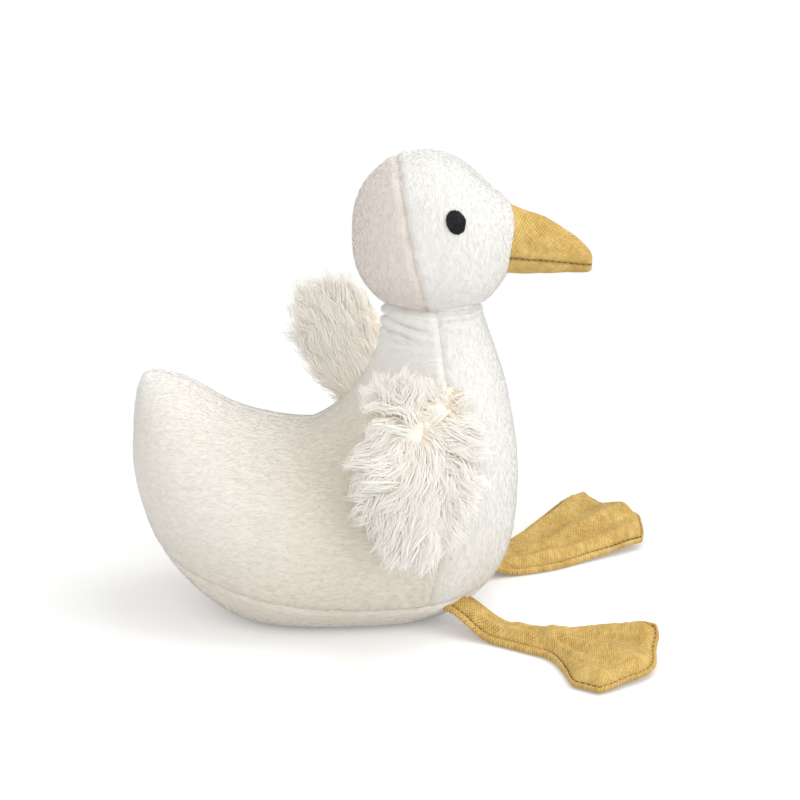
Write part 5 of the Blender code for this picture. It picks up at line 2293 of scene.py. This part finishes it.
@dataclass(frozen=True)
class Studio:
    """Plain pale floor, soft lamps, and the camera of the photograph."""

    camera_place: tuple = (0.010424, -0.550, 0.225)
    camera_pitch: float = math.radians(74.1085)
    lens: float = 81.585
    floor_size: float = 6.0
    floor_colour: tuple = (0.82, 0.82, 0.82)
    floor_glow: float = 0.22
    clear_from: float = 0.14
    clear_to: float = 0.30
    sky: float = 0.64

    def build(self) -> None:
        """Set the stage."""
        self._camera()
        self._floor()
        self._sky()
        self._lamp("key", (0.45, 0.02, 1.15), 0.8, 4.8, (1.0, 0.99, 0.97))
        self._lamp("side", (0.95, -0.55, 0.45), 0.8, 4.4, (1.0, 0.99, 0.98))
        self._lamp("front", (-0.35, -0.95, 0.80), 1.0, 4.2, (1.0, 0.99, 0.98))
        bpy.context.scene.view_settings.view_transform = "Standard"

    def _camera(self) -> None:
        """Stand the camera where the photographer's stood."""
        data = bpy.data.cameras.new("camera")
        data.lens = self.lens
        data.sensor_width = 36.0
        camera = bpy.data.objects.new("camera", data)
        camera.location = self.camera_place
        camera.rotation_euler = (self.camera_pitch, 0.0, 0.0)
        bpy.context.scene.collection.objects.link(camera)
        bpy.context.scene.camera = camera

    def _floor(self) -> None:
        """Lay the pale floor, which glows to white for the camera and keeps shadows."""
        half = self.floor_size / 2
        corners = [(-half, -half, 0), (half, -half, 0), (half, half, 0), (-half, half, 0)]
        floor = new_piece("floor", mesh_from("floor", [Vector(c) for c in corners], [[0, 1, 2, 3]]))
        material = bpy.data.materials.new("floor_paper")
        material.use_nodes = True
        book = NodeBook(material.node_tree)
        shader = material.node_tree.nodes["Principled BSDF"]
        shader.inputs["Base Color"].default_value = (*self.floor_colour, 1.0)
        shader.inputs["Roughness"].default_value = 0.9
        shader.inputs["Specular IOR Level"].default_value = 0.0
        seen = book.seen()
        glow = book.node("ShaderNodeEmission", None, {"Strength": seen * self.floor_glow})
        both = book.node("ShaderNodeAddShader", None, {0: shader.outputs[0], 1: glow})
        place = book.place()
        away = (place.dot(place) ** 0.5 - self.clear_from) / (self.clear_to - self.clear_from)
        white = book.node("ShaderNodeEmission", None, {"Strength": 1.0})
        shares = {0: away.clamped() * seen, 1: both, 2: white}
        clear = book.node("ShaderNodeMixShader", None, shares)
        output = material.node_tree.nodes["Material Output"]
        book.tree.links.new(clear.outputs[0], output.inputs["Surface"])
        floor.data.materials.append(material)
        floor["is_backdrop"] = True

    def _sky(self) -> None:
        """A white surround for the camera, and a soft even light for the rest."""
        world = bpy.data.worlds.new("surround")
        world.use_nodes = True
        bpy.context.scene.world = world
        book = NodeBook(world.node_tree)
        background = world.node_tree.nodes["Background"]
        background.inputs["Color"].default_value = (1.0, 1.0, 1.0, 1.0)
        strength = self.sky + book.seen() * (1.0 - self.sky)
        book.tree.links.new(strength.socket, background.inputs["Strength"])

    def _lamp(self, name: str, place: tuple, size: float, power: float, colour: tuple) -> None:
        """Hang one soft square lamp that looks at the goose."""
        data = bpy.data.lights.new(name, "AREA")
        data.size = size
        data.energy = power
        data.color = colour
        lamp = bpy.data.objects.new(name, data)
        lamp.location = place
        aim = Vector((0.0, 0.0, 0.06)) - Vector(place)
        lamp.rotation_euler = aim.to_track_quat("-Z", "Y").to_euler()
        bpy.context.scene.collection.objects.link(lamp)


# Putting it together


FEWEST_SEAM_POINTS = 8


def seam_threads(skin: Skin, stitches: StitchTree, thread: Material) -> list[Object]:
    """Sew the panels together with stitches that show at the bottom of the seams.

    Args:
        skin: the goose's skin.
        stitches: what lays the stitches.
        thread: their material.

    Returns:
        One piece for each seam.
    """
    pieces = []
    for seed, (pair, edges) in enumerate(sorted(borders(skin.faces, skin.panels).items())):
        line, pairs = lifted(skin.points, edges)
        if len(line) < FEWEST_SEAM_POINTS:
            continue
        name = "seam_" + pair.replace("_panel", "").replace("-", "_to_")
        stitch = Stitch(2.3 * MM, 1.5 * MM, 0.3 * MM, 0.3, seed)
        pieces.append(stitches.sew(name, "pile_cloth", line, pairs, stitch, thread))
    return pieces


def feet() -> list[Foot]:
    """Both feet as they lie, with their own creases. Returns: the two feet."""
    right = (
        Crease((0.53, 1.0), (0.36, -0.9), -1.5 * MM, 1.5 * MM),
        Crease((0.60, 1.0), (0.44, -0.7), 0.9 * MM, 1.6 * MM),
        Crease((0.50, 0.35), (0.97, 0.75), 1.3 * MM, 2.0 * MM),
        Crease((0.52, 0.05), (0.93, 0.38), -1.3 * MM, 1.5 * MM),
        Crease((0.45, -0.15), (0.97, 0.05), 1.1 * MM, 1.8 * MM),
        Crease((0.50, -0.42), (0.90, -0.48), -1.2 * MM, 1.6 * MM),
        Crease((0.45, -0.72), (0.95, -0.80), 0.9 * MM, 1.6 * MM),
        Crease((0.16, 0.25), (0.46, 0.10), 0.9 * MM, 1.6 * MM),
        Crease((0.22, -0.35), (0.40, -0.20), -0.6 * MM, 1.1 * MM),
    )
    left = (
        Crease((0.30, -0.55), (0.90, -0.72), 1.0 * MM, 1.8 * MM),
        Crease((0.38, -0.20), (0.88, -0.40), -1.1 * MM, 1.6 * MM),
        Crease((0.42, 0.0), (0.97, 0.05), 1.2 * MM, 2.0 * MM),
        Crease((0.48, 0.30), (0.90, 0.48), -1.5 * MM, 1.7 * MM),
        Crease((0.40, 0.62), (0.95, 0.80), 1.0 * MM, 1.9 * MM),
        Crease((0.30, 0.10), (0.42, -0.60), -0.7 * MM, 1.2 * MM),
        Crease((0.60, -0.10), (0.72, 0.40), 0.7 * MM, 1.2 * MM),
    )
    return [
        Foot(
            Side.RIGHT,
            69 * MM,
            1.2 * MM,
            Flank(7 * MM, 18.5 * MM, (0.05, 0.72), 7 * MM, 1.4 * MM),
            Flank(6.0 * MM, 20 * MM, (0.50, 0.83), 0.2 * MM, 1.0 * MM),
            right,
        ),
        Foot(
            Side.LEFT,
            81 * MM,
            6.5 * MM,
            Flank(8 * MM, 14.5 * MM, (0.0, 0.45), 1.8 * MM, 0.8 * MM),
            Flank(8.5 * MM, 21 * MM, (0.10, 0.75), 8.5 * MM, 3.8 * MM),
            left,
        ),
    ]


def wing_grooms() -> dict[Side, dict[Layer, Groom]]:
    """How the fur lies on all four wing panels. Returns: grooms by side and layer."""
    return {
        Side.RIGHT: {
            Layer.OUTER: Groom(360, 20, 10.5 * MM, 1.3, 1.35, (0.4, -0.05), loft=0.3, sag=0.1, seed=3),
            Layer.INNER: Groom(150, 8, 9 * MM, 0.4, 0.8, (0.5, 0.0), loft=0.15, seed=4),
        },
        Side.LEFT: {
            Layer.INNER: Groom(270, 20, 11 * MM, 0.6, 0.25, (0.85, -0.4), loft=0.2, sag=0.05, seed=7),
            Layer.OUTER: Groom(180, 13, 11 * MM, 0.5, 0.5, (0.85, -0.3), seed=9),
        },
    }


def dress_filling(fibre: Material) -> None:
    """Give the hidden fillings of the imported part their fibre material."""
    for name in ("stuffing", "beak_stuffing"):
        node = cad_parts[name]
        node.data.materials.clear()
        node.data.materials.append(fibre)


def main() -> None:
    """Build the goose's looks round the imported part, and the stage."""
    logging.basicConfig(level=logging.INFO, format="%(name)s: %(message)s")
    noise.seed_set(FLOW_SEED)
    velour = {"roughness": 0.9, "sheen": 0.6, "gloss": 0.1}
    upright = {"streak": (620.0, 620.0, 150.0), **velour}
    white = {"ground": (0.785, 0.775, 0.74), "tip": (0.855, 0.848, 0.82)}
    back = {"turned": (0.938, 0.869, 0.832), **white}
    # Painted light: the belly's cloth is lighter than the sides' to make up for the little light that
    # reaches it from below.
    belly_painted_light = {"ground": (0.87, 0.85, 0.80), "tip": (0.94, 0.93, 0.905)}
    cloths = {
        "face_panel": PileFinish("face_pile", **back, **upright).make(),
        "head_back_panel": PileFinish("head_back_pile", **back, **upright).make(),
        "chest_panel": PileFinish("chest_pile", **white, **upright).make(),
        "side_panel": PileFinish("side_pile", **velour).make(),
        "belly_panel": PileFinish("belly_pile", **belly_painted_light, **velour).make(),
    }
    fur_cloth = FurFinish("long_fur", 0.75, 0.1, 0.25).make()
    # Painted shade: the far wing stands in shade, so it gets a warmer, creamier copy of the fur.
    shaded_fur_colours = {"root": (0.87, 0.69, 0.46), "middle": (0.985, 0.92, 0.81), "tip": (0.99, 0.96, 0.895)}
    shaded_fur_cloth = FurFinish("long_fur_cream", 0.75, 0.1, 0.25, **shaded_fur_colours).make()
    knit = {"dark": (0.90, 0.80, 0.66), "light": (0.96, 0.90, 0.80)}
    backing_cloth = ThreadFinish("fur_backing", 0.9, **knit).make()
    linen = LinenFinish("linen", 0.85, 0.05).make()
    pale = {"dark": (0.74, 0.68, 0.60), "light": (0.88, 0.84, 0.77)}
    cream_thread = ThreadFinish("cream_thread", 0.7, **pale).make()
    # Painted shadow: the beak's and feet's stitches are dark brown for the shade in their holes, though
    # the thread itself is mustard.
    stitch_shadow_colours = {"dark": (0.10, 0.055, 0.012), "light": (0.26, 0.15, 0.045)}
    dark_thread = ThreadFinish("dark_thread", 0.7, **stitch_shadow_colours).make()
    black = {"dark": (0.004, 0.004, 0.005), "light": (0.02, 0.02, 0.022)}
    black_thread = ThreadFinish("black_thread", 0.55, **black).make()
    fibre = FillingFinish("fibre_filling", 1.0).make()

    head = Head()
    form = GooseForm(Body(), head)
    skin = form.skin()
    surface = skin.tree()
    stitches = StitchTree()
    threads = ThreadTree()
    fur = FurTree()

    pieces = Coat(skin, cloths).build()
    pieces += seam_threads(skin, stitches, cream_thread)
    pieces += Beak(head).build(linen, stitches, dark_thread)
    for side in Side:
        pieces += Eye(side).build(head, surface, threads, black_thread)
    for foot in feet():
        pieces += foot.build(surface, linen, fibre, stitches, dark_thread)
    for side, grooms in wing_grooms().items():
        wing = Wing(side, waist=0.38 if side is Side.LEFT else 0.95)
        # The far wing takes the fur's painted-shade copy.
        hair = shaded_fur_cloth if side is Side.LEFT else fur_cloth
        pieces += wing.build(surface, grooms, fur, hair, backing_cloth)
    dress_filling(fibre)

    total = 0
    for piece in pieces:
        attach(piece, "root")
        piece.data.calc_loop_triangles()
        count = len(piece.data.loop_triangles)
        total += count
        log.info("%s: %d triangles", piece.name, count)
    log.info("all pieces: %d triangles", total)

    Studio().build()
    boxes = {"cad": CAD_BOX, "visual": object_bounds()}
    {key: [list(c) for c in box] for key, box in boxes.items()}


if __name__ == "__main__":
    main()
